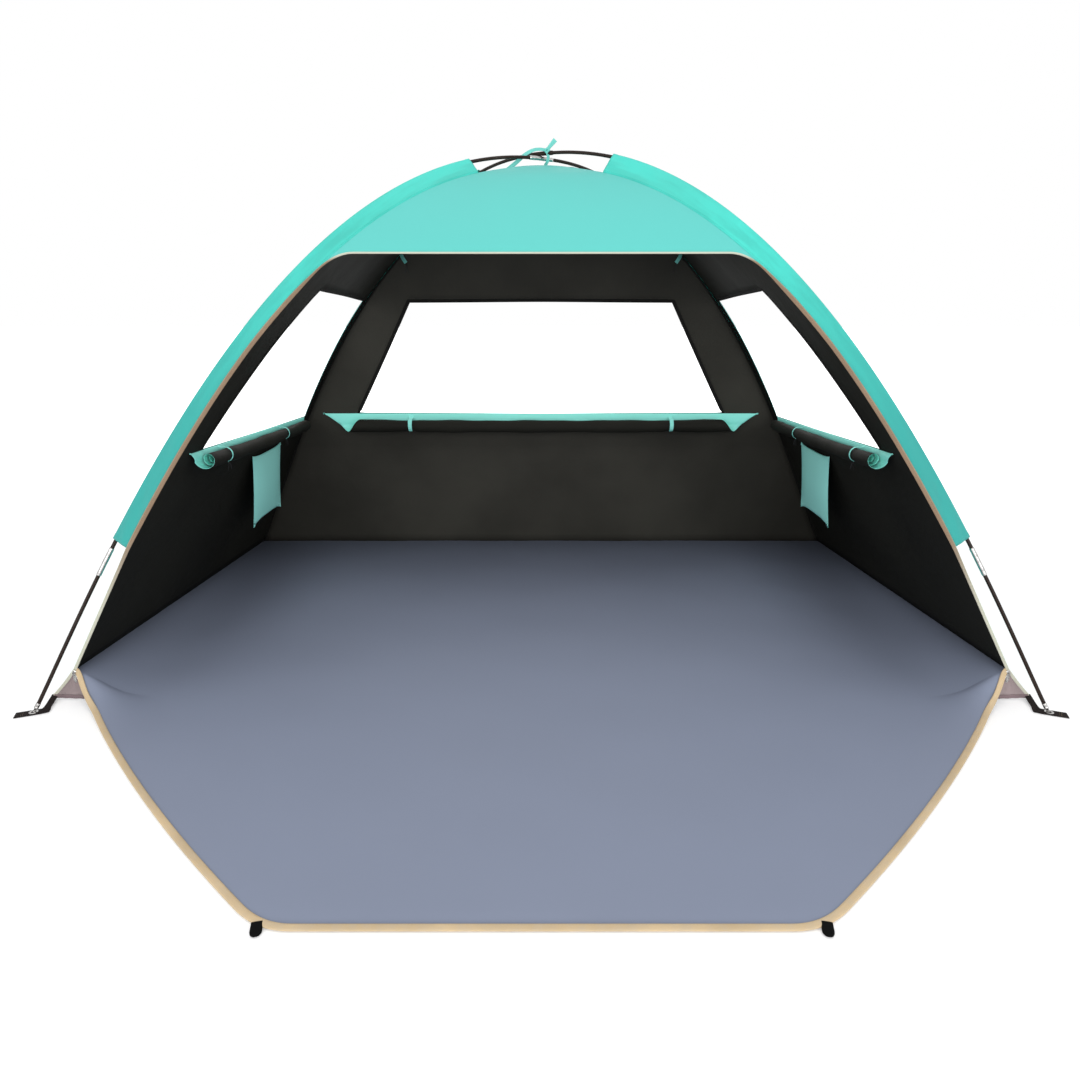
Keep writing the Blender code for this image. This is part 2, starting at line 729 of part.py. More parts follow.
def make_upper_rod(name, line, widths, joint, crossing):
    points = [stop_short(line[2], joint, GAP / 2)] + line[2:]
    points.append(stop_short(line[-1], crossing, GAP / 2))
    hollow_tube(name, points, ROD_RADIUS, ROD_WALL, FIBREGLASS, [1.0] + widths[2:] + [1.0])


def make_ferrule(name, start, end):
    wall = FERRULE_RADIUS - ROD_RADIUS - FERRULE_CLEARANCE
    hollow_tube(name, [start, end], FERRULE_RADIUS, wall, STEEL, resolution=4)


def make_cord(name, front, rear):
    """The elastic cord that holds the rods of a pole together, through all of them."""
    first = stop_short(front[1], front[0], GAP)
    last = stop_short(rear[1], rear[0], GAP)
    points = [first] + front[1:] + list(reversed(rear[1:])) + [last]
    tube_object(name, points, CORD_DIAMETER / 2, [CORD_CLOTH], resolution=1)


# Sleeves
def sleeve_root_lift(seam, pole, corner):
    """How far the sleeve's blunt root stands off the seam, to lie on the side panel's face."""
    step = SLEEVE_WIDTH / 10
    lower = smooth_seam(seam.z - step, corner)
    upper = smooth_seam(seam.z, corner)
    slope = (upper.x - lower.x) / (upper.z - lower.z)
    normal = Vector((1.0, 0.0, -slope)).normalized()
    sine = (pole - seam).normalized().dot(normal)
    cosine = math.sqrt(1.0 - sine ** 2)
    return (GAP + SLEEVE_ROOT_HALF * cosine) / sine


def sleeve_ring(reach, top, corner):
    """The closed cross-section of a sleeve at a reach: round over the pole, flat down to the seam."""
    pole = bow_point(reach, top)
    seam = seam_under_pole(reach)
    tangent = (POLE_DIRECTION + Vector((0.0, 0.0, bow_slope(reach, top)))).normalized()
    down = seam - pole
    down -= tangent * tangent.dot(down)
    width = down.length - sleeve_root_lift(seam, pole, corner)
    down.normalize()
    aside = tangent.cross(down)
    ring = [pole + down * width + aside * SLEEVE_ROOT_HALF]
    for degrees in SLEEVE_ROUND_DEGREES:
        angle = math.radians(degrees)
        ring.append(pole + (down * math.cos(angle) + aside * math.sin(angle)) * SLEEVE_RADIUS)
    ring.append(pole + down * width - aside * SLEEVE_ROOT_HALF)
    return ring


def make_sleeve(name, top, sign_x, sign_y):
    stations, corner = (FRONT_STATIONS, FRONT_CORNER) if sign_y < 0 else (REAR_STATIONS, REAR_CORNER)
    bends = [seam_reach(height) for height in stations if SEAM_LOW.z <= height <= SEAM_TOP.z]
    halfway = [(lower + upper) / 2 for lower, upper in zip(bends, bends[1:])]
    bm = bmesh.new()
    rings = []
    for reach in sorted(bends + halfway, reverse=True):
        ring = sleeve_ring(reach, top, corner)
        rings.append([bm.verts.new(turned_to(sign_x, sign_y, point)) for point in ring])
    for lower, upper in zip(rings, rings[1:]):
        for i in range(len(lower)):
            j = (i + 1) % len(lower)
            corners = [lower[i], lower[j], upper[j], upper[i]]
            bm.faces.new(corners if sign_x * sign_y < 0 else reversed(corners))
    obj = add_object(name, mesh_from(bm, name), [TEAL_CLOTH])
    solidify(obj, SLEEVE_PLY)


# Foot straps, grommets, gussets
def strap_path(foot, front):
    """A strap's middle line in the quadrant x > 0, y > 0, from its floor corner past the pole's foot.

    A rear strap runs straight out along the pole. A front one leaves the floor's front edge square
    and bends where it meets the pole's line.
    """
    tail = foot + POLE_DIRECTION.xy * FOOT_STRAP_TAIL
    if front:
        start = Vector((HALF_FRONT_WIDTH - FOOT_STRAP_WIDTH / 2, HALF_DEPTH + GAP))
        bend = foot - POLE_DIRECTION.xy * ((foot.x - start.x) / POLE_DIRECTION.x)
        return [start, bend, tail]
    cut_x = HALF_REAR_WIDTH - FOOT_STRAP_WIDTH * POLE_DIRECTION.y / 2
    cut_y = HALF_DEPTH - FOOT_STRAP_WIDTH * POLE_DIRECTION.x / 2
    start = foot - POLE_DIRECTION.xy * (foot - Vector((cut_x, cut_y))).dot(POLE_DIRECTION.xy)
    return [start + POLE_DIRECTION.xy * GAP, tail]


def strip_outline(path, width):
    """The outline of a flat strip along a path, square at its ends and mitred where it bends."""
    left = []
    right = []
    for i, point in enumerate(path):
        before = (point - path[max(i - 1, 0)]).normalized()
        after = (path[min(i + 1, len(path) - 1)] - point).normalized()
        mean = (before + after).normalized()
        reach = width / 2 / mean.dot(before if i else after)
        normal = Vector((-mean.y, mean.x))
        left.append(point + normal * reach)
        right.append(point - normal * reach)
    return right + left[::-1]


def make_foot_strap(name, grommet_name, sign_x, sign_y):
    """A webbing strap from the floor's corner out past the pole's tip, with its grommet."""
    foot = POLE_DIRECTION.xy * POLE_REACH
    path = strap_path(foot, sign_y < 0)
    edges = strip_outline(path, FOOT_STRAP_WIDTH)
    outline = [(sign_x * (x - foot.x), sign_y * (y - foot.y)) for x, y in edges]
    place = turned_to(sign_x, sign_y, POLE_DIRECTION * POLE_REACH)
    hole = circle(GROMMET_HOLE_RADIUS, GROMMET_SIDES)
    add_plate(name, [outline, hole], WEBBING, [WEBBING_CLOTH], place)
    make_grommet(grommet_name, place)


def make_grommet(name, place):
    """A turned eyelet: a short barrel in the strap's hole and a flange on top of the strap."""
    barrel = GROMMET_HOLE_RADIUS - GAP
    seat = WEBBING + GAP
    crown = seat + GROMMET_FLANGE
    bore = GROMMET_BORE_RADIUS
    flange = GROMMET_FLANGE_RADIUS
    profile = [(bore, crown), (flange, crown), (flange, seat), (barrel, seat), (barrel, GAP), (bore, GAP)]
    bm = bmesh.new()
    ring = [bm.verts.new((radius, 0.0, height)) for radius, height in profile]
    for start, end in zip(ring, ring[1:] + ring[:1]):
        bm.edges.new((start, end))
    obj = add_object(name, mesh_from(bm, name), [STEEL], place)
    screw = obj.modifiers.new("Turn", "SCREW")
    screw.steps = GROMMET_SIDES
    screw.render_steps = GROMMET_SIDES
    screw.use_merge_vertices = True
    screw.merge_threshold = MERGE_DISTANCE


def make_gusset(name, sign):
    """The small triangle of cloth in front of the foot of the opening's binding, above the strap."""
    off_binding = Vector((0.0, CLOTH + GAP, 0.0))
    top = front_surface_point(smooth_seam(GUSSET_HEIGHT, FRONT_CORNER).x, GUSSET_HEIGHT)
    inner = front_surface_point(HALF_FRONT_WIDTH - GUSSET_INNER_WIDTH, GUSSET_FOOT_HEIGHT)
    outer = front_surface_point(HALF_FRONT_WIDTH + GUSSET_REACH, GUSSET_FOOT_HEIGHT)
    corners = [turned_to(sign, 1, point - off_binding) for point in (inner, outer, top)]
    bm = bmesh.new()
    verts = [bm.verts.new(corner) for corner in corners]
    bm.faces.new(verts if sign > 0 else reversed(verts))
    obj = add_object(name, mesh_from(bm, name), [GUSSET_CLOTH])
    solidify(obj, CLOTH)


# Rolled window flaps: a frame has its origin on the sill's inner edge, u into the tent, w up, v along
def roll_point(step, clearance=0.0):
    """A point on the roll's spiral: it starts behind the roll, runs under it and winds inwards."""
    turn = step / ROLL_STEPS_PER_TURN
    angle = math.pi + 2 * math.pi * turn
    radius = ROLL_RADIUS - ROLL_PITCH * turn + clearance
    return ROLL_RADIUS + radius * math.cos(angle), -ROLL_DROP + radius * math.sin(angle)


def roll_profile():
    """The flap's section: down from the sill behind the roll, then round it in the spiral."""
    steps = round(ROLL_TURNS * ROLL_STEPS_PER_TURN)
    return [(0.0, 0.0), (0.0, -ROLL_DROP / 2)] + [roll_point(step) for step in range(steps + 1)]


def make_roll(name, frame, flap_ends, roll_ends):
    """The flap hangs from flap_ends at the sill and is drawn in to roll_ends on the roll."""
    profile = roll_profile()
    rows = []
    for i, (u, w) in enumerate(profile):
        share = min(i / 2, 1.0)
        ends = [lerp(a, b, share) for a, b in zip(flap_ends, roll_ends)]
        rows.append([Vector((u, v, w)) for v in ends])
    bm = bmesh.new()
    grid = [[bm.verts.new(point) for point in row] for row in rows]
    for lower, upper in zip(grid, grid[1:]):
        bm.faces.new([lower[0], lower[1], upper[1], upper[0]])
    obj = add_object(name, mesh_from(bm, name), [BLACK_CLOTH])
    obj.matrix_basis = frame
    solidify(obj, CLOTH)


def strap_profile():
    """A strap's section: from the sill to the roll's top, then round its front and underneath."""
    start = (CLOTH + GAP + RIBBON, -RIBBON)
    steps = range(ROLL_STRAP_FIRST_STEP, ROLL_STRAP_LAST_STEP - 1, -1)
    return [start] + [roll_point(step, ROLL_STRAP_CLEARANCE) for step in steps]


def make_roll_strap(name, frame, v):
    half = ROLL_STRAP_WIDTH / 2
    bm = bmesh.new()
    grid = [[bm.verts.new((u, v - half, w)), bm.verts.new((u, v + half, w))] for u, w in strap_profile()]
    for lower, upper in zip(grid, grid[1:]):
        bm.faces.new([lower[0], lower[1], upper[1], upper[0]])
    obj = add_object(name, mesh_from(bm, name), [TEAL_CLOTH])
    obj.matrix_basis = frame
    solidify(obj, RIBBON)


def frame_matrix(origin, into, along):
    """The matrix whose X goes into the tent, whose Y runs along the sill and whose Z goes up."""
    up = into.cross(along)
    rotation = Matrix((into, along, up)).transposed().to_4x4()
    return Matrix.Translation(origin) @ rotation


def side_sill_frame():
    """The right-hand sill: its line just off the panel's inner face, taken at the tent's middle."""
    rows, hole = side_panel_rows()
    front = rows[hole[0]][1]
    rear = rows[hole[0]][2]
    middle = lerp(front, rear, -front.y / (rear.y - front.y))
    lean = math.hypot(1.0, side_wall_lean(0.0, middle.z))
    origin = middle - Vector((CLOTH * lean + FLAP_HINGE_CLEARANCE, 0.0, 0.0))
    along = (rear - front).normalized()
    into = Vector((-along.y, along.x, 0.0)).normalized()
    return origin, into, along


def make_side_rolls():
    origin, into, along = side_sill_frame()
    for side, sign in (("right", 1), ("left", -1)):
        place = turned_to(sign, 1, origin)
        inward = turned_to(sign, 1, into)
        # The left frame runs from rear to front, so that it stays right-handed
        run = turned_to(sign, 1, along) * sign
        frame = frame_matrix(place, inward, -run)
        ends = [[-sign * y for y in pair] for pair in (SIDE_FLAP_Y, SIDE_ROLL_Y)]
        ends = [sorted(pair) for pair in ends]
        make_roll(f"window_roll_{side}", frame, ends[0], ends[1])
        for label, y in zip(("front", "rear"), SIDE_STRAP_Y):
            make_roll_strap(f"roll_strap_{side}_{label}", frame, -sign * y)


def make_rear_roll():
    seam = seam_at(REAR_SILL, REAR_SEAM)
    lean = math.hypot(1.0, (SEAM_LOW.y - seam.y) / (seam.z - SEAM_LOW.z))
    origin = Vector((0.0, seam.y - CLOTH * lean - FLAP_HINGE_CLEARANCE, REAR_SILL))
    frame = frame_matrix(origin, Vector((0.0, -1.0, 0.0)), Vector((1.0, 0.0, 0.0)))
    flap = (-REAR_FLAP_HALF, REAR_FLAP_HALF)
    roll = (-REAR_ROLL_HALF, REAR_ROLL_HALF)
    make_roll("window_roll_rear", frame, flap, roll)
    for label, x in (("left", -REAR_STRAP_X), ("right", REAR_STRAP_X)):
        make_roll_strap(f"roll_strap_rear_{label}", frame, x)


# Pockets
def make_pocket(name, sign):
    """An open-topped pouch that hangs from its top back edge, on the side panel's inner face."""
    front_y = POCKET_MIDDLE_Y - POCKET_WIDTH / 2
    rear_y = POCKET_MIDDLE_Y + POCKET_WIDTH / 2
    wall_x = min(side_wall_x(front_y, POCKET_TOP_HEIGHT), side_wall_x(rear_y, POCKET_TOP_HEIGHT))
    lean = math.hypot(1.0, side_wall_lean(POCKET_MIDDLE_Y, POCKET_TOP_HEIGHT))
    pivot_x = wall_x - CLOTH * lean - GAP
    bm = bmesh.new()
    bmesh.ops.create_cube(bm, size=1.0)
    bmesh.ops.scale(bm, verts=bm.verts, vec=(POCKET_DEPTH, POCKET_WIDTH, POCKET_HEIGHT))
    bmesh.ops.translate(bm, verts=bm.verts, vec=(-sign * POCKET_DEPTH / 2, 0.0, -POCKET_HEIGHT / 2))
    mouth = [max(bm.faces, key=lambda side: side.calc_center_median().z)]
    bmesh.ops.delete(bm, geom=mouth, context="FACES_ONLY")
    pivot = Vector((sign * pivot_x, POCKET_MIDDLE_Y, POCKET_TOP_HEIGHT))
    obj = add_object(name, mesh_from(bm, name), [TEAL_CLOTH], pivot)
    solidify(obj, RIBBON)


# Zip sliders and pulls
def slider_frame(sign):
    """Where a slider rides: on the face of the opening's binding, in line with the zip."""
    middle = smooth_seam(SLIDER_HEIGHT, FRONT_CORNER)
    x = middle.x - GAP - OPENING_BINDING_WIDTH / 2
    along = (SEAM_LOW - FRONT_CORNER).normalized()
    along = Vector((along.x, -along.y, along.z))
    outward = Vector((0.0, -along.z, along.y)).normalized()
    place = Vector((x, -middle.y, SLIDER_HEIGHT)) + outward * (SLIDER_SIZE[1] / 2 + GAP)
    return turned_to(sign, 1, place), turned_to(sign, 1, along), outward


def make_slider(name, sign):
    place, along, outward = slider_frame(sign)
    bm = bmesh.new()
    bmesh.ops.create_cube(bm, size=1.0)
    bmesh.ops.scale(bm, verts=bm.verts, vec=SLIDER_SIZE)
    obj = add_object(name, mesh_from(bm, name), [STEEL])
    across = -outward.cross(along).normalized()
    back = along.cross(across)
    obj.matrix_basis = Matrix.Translation(place) @ Matrix((across, back, along)).transposed().to_4x4()
    bevel = obj.modifiers.new("Bevel", "BEVEL")
    bevel.width = SLIDER_BEVEL
    bevel.segments = 2


def make_pull(name, sign):
    """The pull hangs straight down in front of the slider; its origin is on its hinge line."""
    place, along, outward = slider_frame(sign)
    slider_reach = (abs(outward.y) * SLIDER_SIZE[1] + abs(along.y) * SLIDER_SIZE[2]) / 2
    pivot = place - Vector((0.0, slider_reach + PULL_PLAY + PULL_SIZE[1] / 2, 0.0))
    width, depth, length = PULL_SIZE
    outline = [(-width / 2, 0.0), (-width / 2, -length + width / 2)]
    for step in range(1, PULL_ARC_STEPS):
        angle = math.pi + math.pi * step / PULL_ARC_STEPS
        outline.append((width / 2 * math.cos(angle), -length + width / 2 + width / 2 * math.sin(angle)))
    outline += [(width / 2, -length + width / 2), (width / 2, 0.0)]
    eye = [(x, y - PULL_EYE_INSET) for x, y in circle(PULL_EYE_RADIUS, PULL_EYE_SIDES)]
    obj = add_plate(name, [outline, eye], depth, [STEEL])
    obj.location = pivot
    obj.rotation_euler = (math.radians(90), 0.0, 0.0)


# The ribbon tie at the crossing
def add_ribbon(name, points, across, width):
    """A ribbon along a list of places, half its thickness on each side; it closes where they meet."""
    bm = bmesh.new()
    grid = [[bm.verts.new(point - across * width / 2), bm.verts.new(point + across * width / 2)]
            for point in points]
    for lower, upper in zip(grid, grid[1:]):
        bm.faces.new([upper[0], upper[1], lower[1], lower[0]])
    bmesh.ops.remove_doubles(bm, verts=bm.verts, dist=MERGE_DISTANCE)
    obj = add_object(name, mesh_from(bm, name), [TEAL_CLOTH])
    solidify(obj, RIBBON)
    obj.modifiers["Wall"].offset = 0.0
    return obj


def make_apex_tie():
    """A patch on the canopy's peak, a ring of ribbon round both poles, a knot and its loose end."""
    centre = Vector((0.0, 0.0, CROSSING_HEIGHT))
    along_x = Vector((1.0, 0.0, 0.0))
    patch_base = CANOPY_TOP_HEIGHT + GAP
    patch = bmesh.new()
    bmesh.ops.create_cone(patch, cap_ends=True, segments=TIE_SIDES, radius1=TIE_PATCH_RADIUS,
                          radius2=TIE_PATCH_RADIUS, depth=CLOTH)
    tie = add_object("apex_tie", mesh_from(patch, "apex_tie"), [TEAL_CLOTH],
                     Vector((0.0, 0.0, patch_base + CLOTH / 2)))
    ring = []
    for step in range(TIE_SIDES):
        angle = -math.pi / 2 + 2 * math.pi * step / TIE_SIDES
        ring.append(centre + Vector((0.0, math.cos(angle), math.sin(angle))) * TIE_RING_RADIUS)
    stem = [Vector((0.0, 0.0, patch_base + CLOTH / 2)), ring[0]]
    knot_way = Vector((0.0, -math.sin(TIE_KNOT_LEAN), math.cos(TIE_KNOT_LEAN)))
    knot_place = centre + knot_way * (TIE_RING_RADIUS + TIE_KNOT_RADIUS / 2)
    tail_way = Vector((math.cos(TIE_TAIL_RISE), 0.0, math.sin(TIE_TAIL_RISE)))
    tail_end = knot_place + tail_way * TIE_TAIL_LENGTH
    knot = bmesh.new()
    bmesh.ops.create_uvsphere(knot, u_segments=TIE_SIDES // 2, v_segments=TIE_SIDES // 3,
                              radius=TIE_KNOT_RADIUS)
    knot_obj = add_object("tie_knot", mesh_from(knot, "tie_knot"), [TEAL_CLOTH], knot_place)
    along_y = Vector((0.0, 1.0, 0.0))
    band_obj = add_ribbon("tie_ring", ring + ring[:1], along_x, TIE_WIDTH)
    stem_obj = add_ribbon("tie_stem", stem, along_x, TIE_STEM_WIDTH)
    tail_obj = add_ribbon("tie_tail", [knot_place, tail_end], along_y, TIE_TAIL_WIDTH)
    for helper in (stem_obj, band_obj, knot_obj, tail_obj):
        join_into(tie, helper)


def join_into(target, tool):
    """Unite a helper shape with a piece; the helper stays as a hidden wire in its own collection."""
    boolean = target.modifiers.new(f"Join {tool.name}", "BOOLEAN")
    boolean.operation = "UNION"
    boolean.object = tool
    PIECES.objects.unlink(tool)
    HELPERS.objects.link(tool)
    tool.hide_render = True
    tool.display_type = "WIRE"


clear_scene()
PIECES = make_collection("beach_tent")
HELPERS = make_collection("beach_tent_helpers")
TENT = bpy.data.objects.new("tent_middle", None)
TENT.location = TENT_MIDDLE
PIECES.objects.link(TENT)

TEAL_CLOTH = make_material("teal_cloth", (0.120, 0.700, 0.610), 0.65)
BLACK_CLOTH = make_material("black_cloth", (0.017, 0.018, 0.015), 0.70)
FLOOR_CLOTH = make_material("floor_cloth", (0.235, 0.266, 0.352), 0.75)
TAPE = make_material("tan_tape", (0.610, 0.456, 0.270), 0.80)
GUSSET_CLOTH = make_material("gusset_cloth", (0.400, 0.330, 0.330), 0.80)
WEBBING_CLOTH = make_material("webbing", (0.022, 0.016, 0.015), 0.85)
FIBREGLASS = make_material("fibreglass_rod", (0.020, 0.017, 0.016), 0.30)
STEEL = make_material("plated_steel", (0.720, 0.710, 0.700), 0.25, 1.0)
CORD_CLOTH = make_material("shock_cord", (0.030, 0.030, 0.032), 0.90)

porch_hinge = add_pivot("porch_hinge", Vector((0.0, -HALF_DEPTH - GAP, CLOTH)))
make_main_floor()
make_porch(porch_hinge)
make_peg_tabs(porch_hinge)
make_side_panels()
make_rear_panel()
make_visor()
make_opening_binding()
make_pole("a", CROSSING_HEIGHT - CROSSING_HALF, -1)
make_pole("b", CROSSING_HEIGHT + CROSSING_HALF, 1)
make_sleeve("sleeve_front_left", CROSSING_HEIGHT - CROSSING_HALF, -1, -1)
make_sleeve("sleeve_rear_right", CROSSING_HEIGHT - CROSSING_HALF, 1, 1)
make_sleeve("sleeve_front_right", CROSSING_HEIGHT + CROSSING_HALF, 1, -1)
make_sleeve("sleeve_rear_left", CROSSING_HEIGHT + CROSSING_HALF, -1, 1)
for row, row_sign in (("front", -1), ("rear", 1)):
    for side, side_sign in (("left", -1), ("right", 1)):
        make_foot_strap(f"foot_strap_{row}_{side}", f"grommet_{row}_{side}", side_sign, row_sign)
for side, side_sign in (("left", -1), ("right", 1)):
    make_gusset(f"corner_gusset_{side}", side_sign)
    make_pocket(f"pocket_{side}", side_sign)
    make_slider(f"zip_slider_{side}", side_sign)
    make_pull(f"zip_pull_{side}", side_sign)
make_side_rolls()
make_rear_roll()
make_apex_tie()
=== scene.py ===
"""Looks of the beach tent: cloth canopy, sleeves, poles, floor, porch, rolled flaps and corner fittings.

X runs across the tent, -Y is its open front and +Z is up, in metres. The pieces are worked out in tent
coordinates, whose middle lies straight under the pole crossing, and add_surface moves them to the frame.
"""
import json
import math

import bpy
import numpy as np
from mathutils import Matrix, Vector


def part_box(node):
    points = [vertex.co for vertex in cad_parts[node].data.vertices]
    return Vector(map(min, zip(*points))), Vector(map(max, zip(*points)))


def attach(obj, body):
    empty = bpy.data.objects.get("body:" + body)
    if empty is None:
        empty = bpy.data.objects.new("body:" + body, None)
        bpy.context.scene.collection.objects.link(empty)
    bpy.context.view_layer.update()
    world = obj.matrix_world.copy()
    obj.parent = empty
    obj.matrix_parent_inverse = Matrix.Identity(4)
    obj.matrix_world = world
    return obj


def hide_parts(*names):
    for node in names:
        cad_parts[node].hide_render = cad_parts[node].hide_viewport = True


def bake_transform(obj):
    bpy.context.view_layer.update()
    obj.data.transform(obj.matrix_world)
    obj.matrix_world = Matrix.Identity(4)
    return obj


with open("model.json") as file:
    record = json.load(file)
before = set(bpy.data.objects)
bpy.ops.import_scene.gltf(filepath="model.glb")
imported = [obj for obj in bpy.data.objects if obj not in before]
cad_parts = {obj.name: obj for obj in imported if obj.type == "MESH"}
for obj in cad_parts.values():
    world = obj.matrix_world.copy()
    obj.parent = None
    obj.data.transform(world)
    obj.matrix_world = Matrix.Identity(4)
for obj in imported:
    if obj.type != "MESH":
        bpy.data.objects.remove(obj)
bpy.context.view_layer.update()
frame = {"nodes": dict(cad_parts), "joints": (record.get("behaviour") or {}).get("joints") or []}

# Sizes read from the frame
FLOOR_LOW, FLOOR_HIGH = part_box("main_floor")
MIDDLE = np.array([0.0, (FLOOR_LOW.y + FLOOR_HIGH.y) / 2, 0.0])
HALF_DEPTH = (FLOOR_HIGH.y - FLOOR_LOW.y) / 2
FRONT_CORNER_X = FLOOR_HIGH.x
PORCH_LENGTH = -HALF_DEPTH - (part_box("porch_binding")[0].y - MIDDLE[1])

# Poles, ridge seams and canopy
REAR_CORNER_X = 1.100
POLE_FOOT = np.array([1.167, 0.671])
POLE_REACH = math.hypot(*POLE_FOOT)
ALONG = np.append(POLE_FOOT / POLE_REACH, 0.0)
ASIDE = np.array([-ALONG[1], ALONG[0], 0.0])
CROSSING_HEIGHT = 1.266
CROSSING_HALF = 0.00565
BOW_POWER, BOW_ROOT_POWER = 2.11, 0.95
SLEEVE_WIDTH = 0.050
SLEEVE_RADIUS = 0.0072
SLEEVE_LOW_HEIGHT = 0.385
SLEEVE_TOP_REACH = 0.209
LEANS = (math.radians(45.8), math.radians(63.0))
LEAN_SHARES = (0.15, 0.60)
CANOPY_TOP = CROSSING_HEIGHT - 0.022
PEAK_POWER = 1.3
PEAK_SHARE = 0.02
VISOR_EDGE = 1.0075
VISOR_FILLET = 0.040
TAPE_WIDTH = 0.0093
VISOR_TAPE_WIDTH = 0.0040
LEG_TAPE_WIDTH = 0.0065
ZIP_TOP_HEIGHT = 0.400
PORCH_TAPE_WIDTH = 0.0135
PORCH_FILLET = 0.050
PORCH_BASE_X = 1.0925
PORCH_CORNER_X = 0.428
PORCH_BULGE = 0.0235
REAR_BOW = 0.092
CORNER_LIFT = 0.068
LIFT_SPREAD = 0.060
LIFT_FALL = 0.052
LIFT_ROUND = 0.012
LIFT_WIDENING = 0.010
LIFTED_EDGE_X = 1.104
FLOOR_FRONT_FALL = 0.014
HEM_WIDTH = 0.012
CLOTH = 0.0007
CLOTH_SEAT = 0.0010
TAPE_OVER_CLOTH = 0.0018
PORCH_TAPE_SEAT = 0.0032

# Windows: sill and top heights at a seam, then the hole's ends at the sill and at the top
SIDE_FRONT_HEIGHTS, SIDE_REAR_HEIGHTS = (0.5625, 0.935), (0.504, 0.905)
SIDE_HOLE_Y = ((-0.390, 0.505), (-0.200, 0.345))
REAR_HEIGHTS = (0.512, 0.903)
REAR_HOLE_HALF = (0.667, 0.432)

# Rod and fittings
ROD_RADIUS = 0.00425
ROD_GAP = 0.0003
CORD_RADIUS = 0.0012
FERRULE_RADIUS = 0.0055
FERRULE_LENGTH = 0.070
TIP_LENGTH = 0.026
FIRST_JOINT = 0.388
HIDDEN_JOINTS = 2

SIDES = (("right", 1), ("left", -1))

# Camera and light
CAMERA_HEIGHT = 0.8923
CAMERA_Y = -2.1297
CAMERA_X = -0.003
CAMERA_PITCH = math.radians(18.0)
CAMERA_FOCAL_PIXELS = 723.285
IMAGE_PIXELS = 1080
SENSOR_MM = 36.0


# Node groups
def socket_group(name, inputs, outputs):
    """A shader node group with float or vector inputs and float outputs, and its two end nodes."""
    group = bpy.data.node_groups.new(name, "ShaderNodeTree")
    for label, default in inputs.items():
        kind = "NodeSocketVector" if default is None else "NodeSocketFloat"
        made = group.interface.new_socket(label, in_out="INPUT", socket_type=kind)
        if default is not None:
            made.default_value = default
    for label in outputs:
        group.interface.new_socket(label, in_out="OUTPUT", socket_type="NodeSocketFloat")
    return group, group.nodes.new("NodeGroupInput"), group.nodes.new("NodeGroupOutput")


def math_node(tree, operation, first, second=None, third=None):
    """A Math node whose inputs are sockets or plain numbers; returns its output."""
    node = tree.nodes.new("ShaderNodeMath")
    node.operation = operation
    for target, value in zip(node.inputs, (first, second, third)):
        if isinstance(value, bpy.types.NodeSocket):
            tree.links.new(value, target)
        elif value is not None:
            target.default_value = value
    return node.outputs[0]


def coordinate(tree, vector, axis):
    """One coordinate of a vector socket."""
    split = tree.nodes.new("ShaderNodeSeparateXYZ")
    tree.links.new(vector, split.inputs[0])
    return split.outputs[axis]


def noise_value(tree, vector, scale, detail=3.0, stretch=None):
    """Noise of one size; stretch scales the vector first, for streaks."""
    if stretch is not None:
        mapping = tree.nodes.new("ShaderNodeMapping")
        mapping.inputs["Scale"].default_value = stretch
        tree.links.new(vector, mapping.inputs["Vector"])
        vector = mapping.outputs["Vector"]
    noise = tree.nodes.new("ShaderNodeTexNoise")
    noise.inputs["Detail"].default_value = detail
    tree.links.new(vector, noise.inputs["Vector"])
    if isinstance(scale, bpy.types.NodeSocket):
        tree.links.new(scale, noise.inputs["Scale"])
    else:
        noise.inputs["Scale"].default_value = scale
    return noise.outputs["Fac"]


def map_range(tree, value, low, high, out_low, out_high):
    """A value stretched from one range to another, smoothly and held at both ends."""
    node = tree.nodes.new("ShaderNodeMapRange")
    node.interpolation_type = "SMOOTHSTEP"
    tree.links.new(value, node.inputs["Value"])
    for label, number in (("From Min", low), ("From Max", high), ("To Min", out_low), ("To Max", out_high)):
        node.inputs[label].default_value = number
    return node.outputs["Result"]


def make_weave_group():
    """Plain weave: the product of one sine wave across the cloth and one along it, at a thread pitch."""
    group, start, end = socket_group("Plain weave", {"Vector": None, "Pitch": 0.001}, ("Height",))
    waves = []
    for axis in ("X", "Y"):
        turns = math_node(group, "DIVIDE", coordinate(group, start.outputs["Vector"], axis),
                          start.outputs["Pitch"])
        waves.append(math_node(group, "SINE", math_node(group, "MULTIPLY", turns, math.pi)))
    height = math_node(group, "MULTIPLY", waves[0], waves[1])
    group.links.new(math_node(group, "MULTIPLY_ADD", height, 0.5, 0.5), end.inputs["Height"])
    return group


def make_rib_group():
    """Ribs across a tape: one sine wave along its length and a finer one over its width."""
    group, start, end = socket_group("Tape ribs", {"Vector": None, "Pitch": 0.0012}, ("Height",))
    vector = start.outputs["Vector"]
    turns = math_node(group, "DIVIDE", coordinate(group, vector, "Y"), start.outputs["Pitch"])
    ribs = math_node(group, "SINE", math_node(group, "MULTIPLY", turns, 2 * math.pi))
    cross = math_node(group, "DIVIDE", coordinate(group, vector, "X"), start.outputs["Pitch"])
    lines = math_node(group, "SINE", math_node(group, "MULTIPLY", cross, 3 * math.pi))
    height = math_node(group, "MULTIPLY_ADD", lines, 0.3, ribs)
    group.links.new(math_node(group, "MULTIPLY_ADD", height, 0.38, 0.5), end.inputs["Height"])
    return group


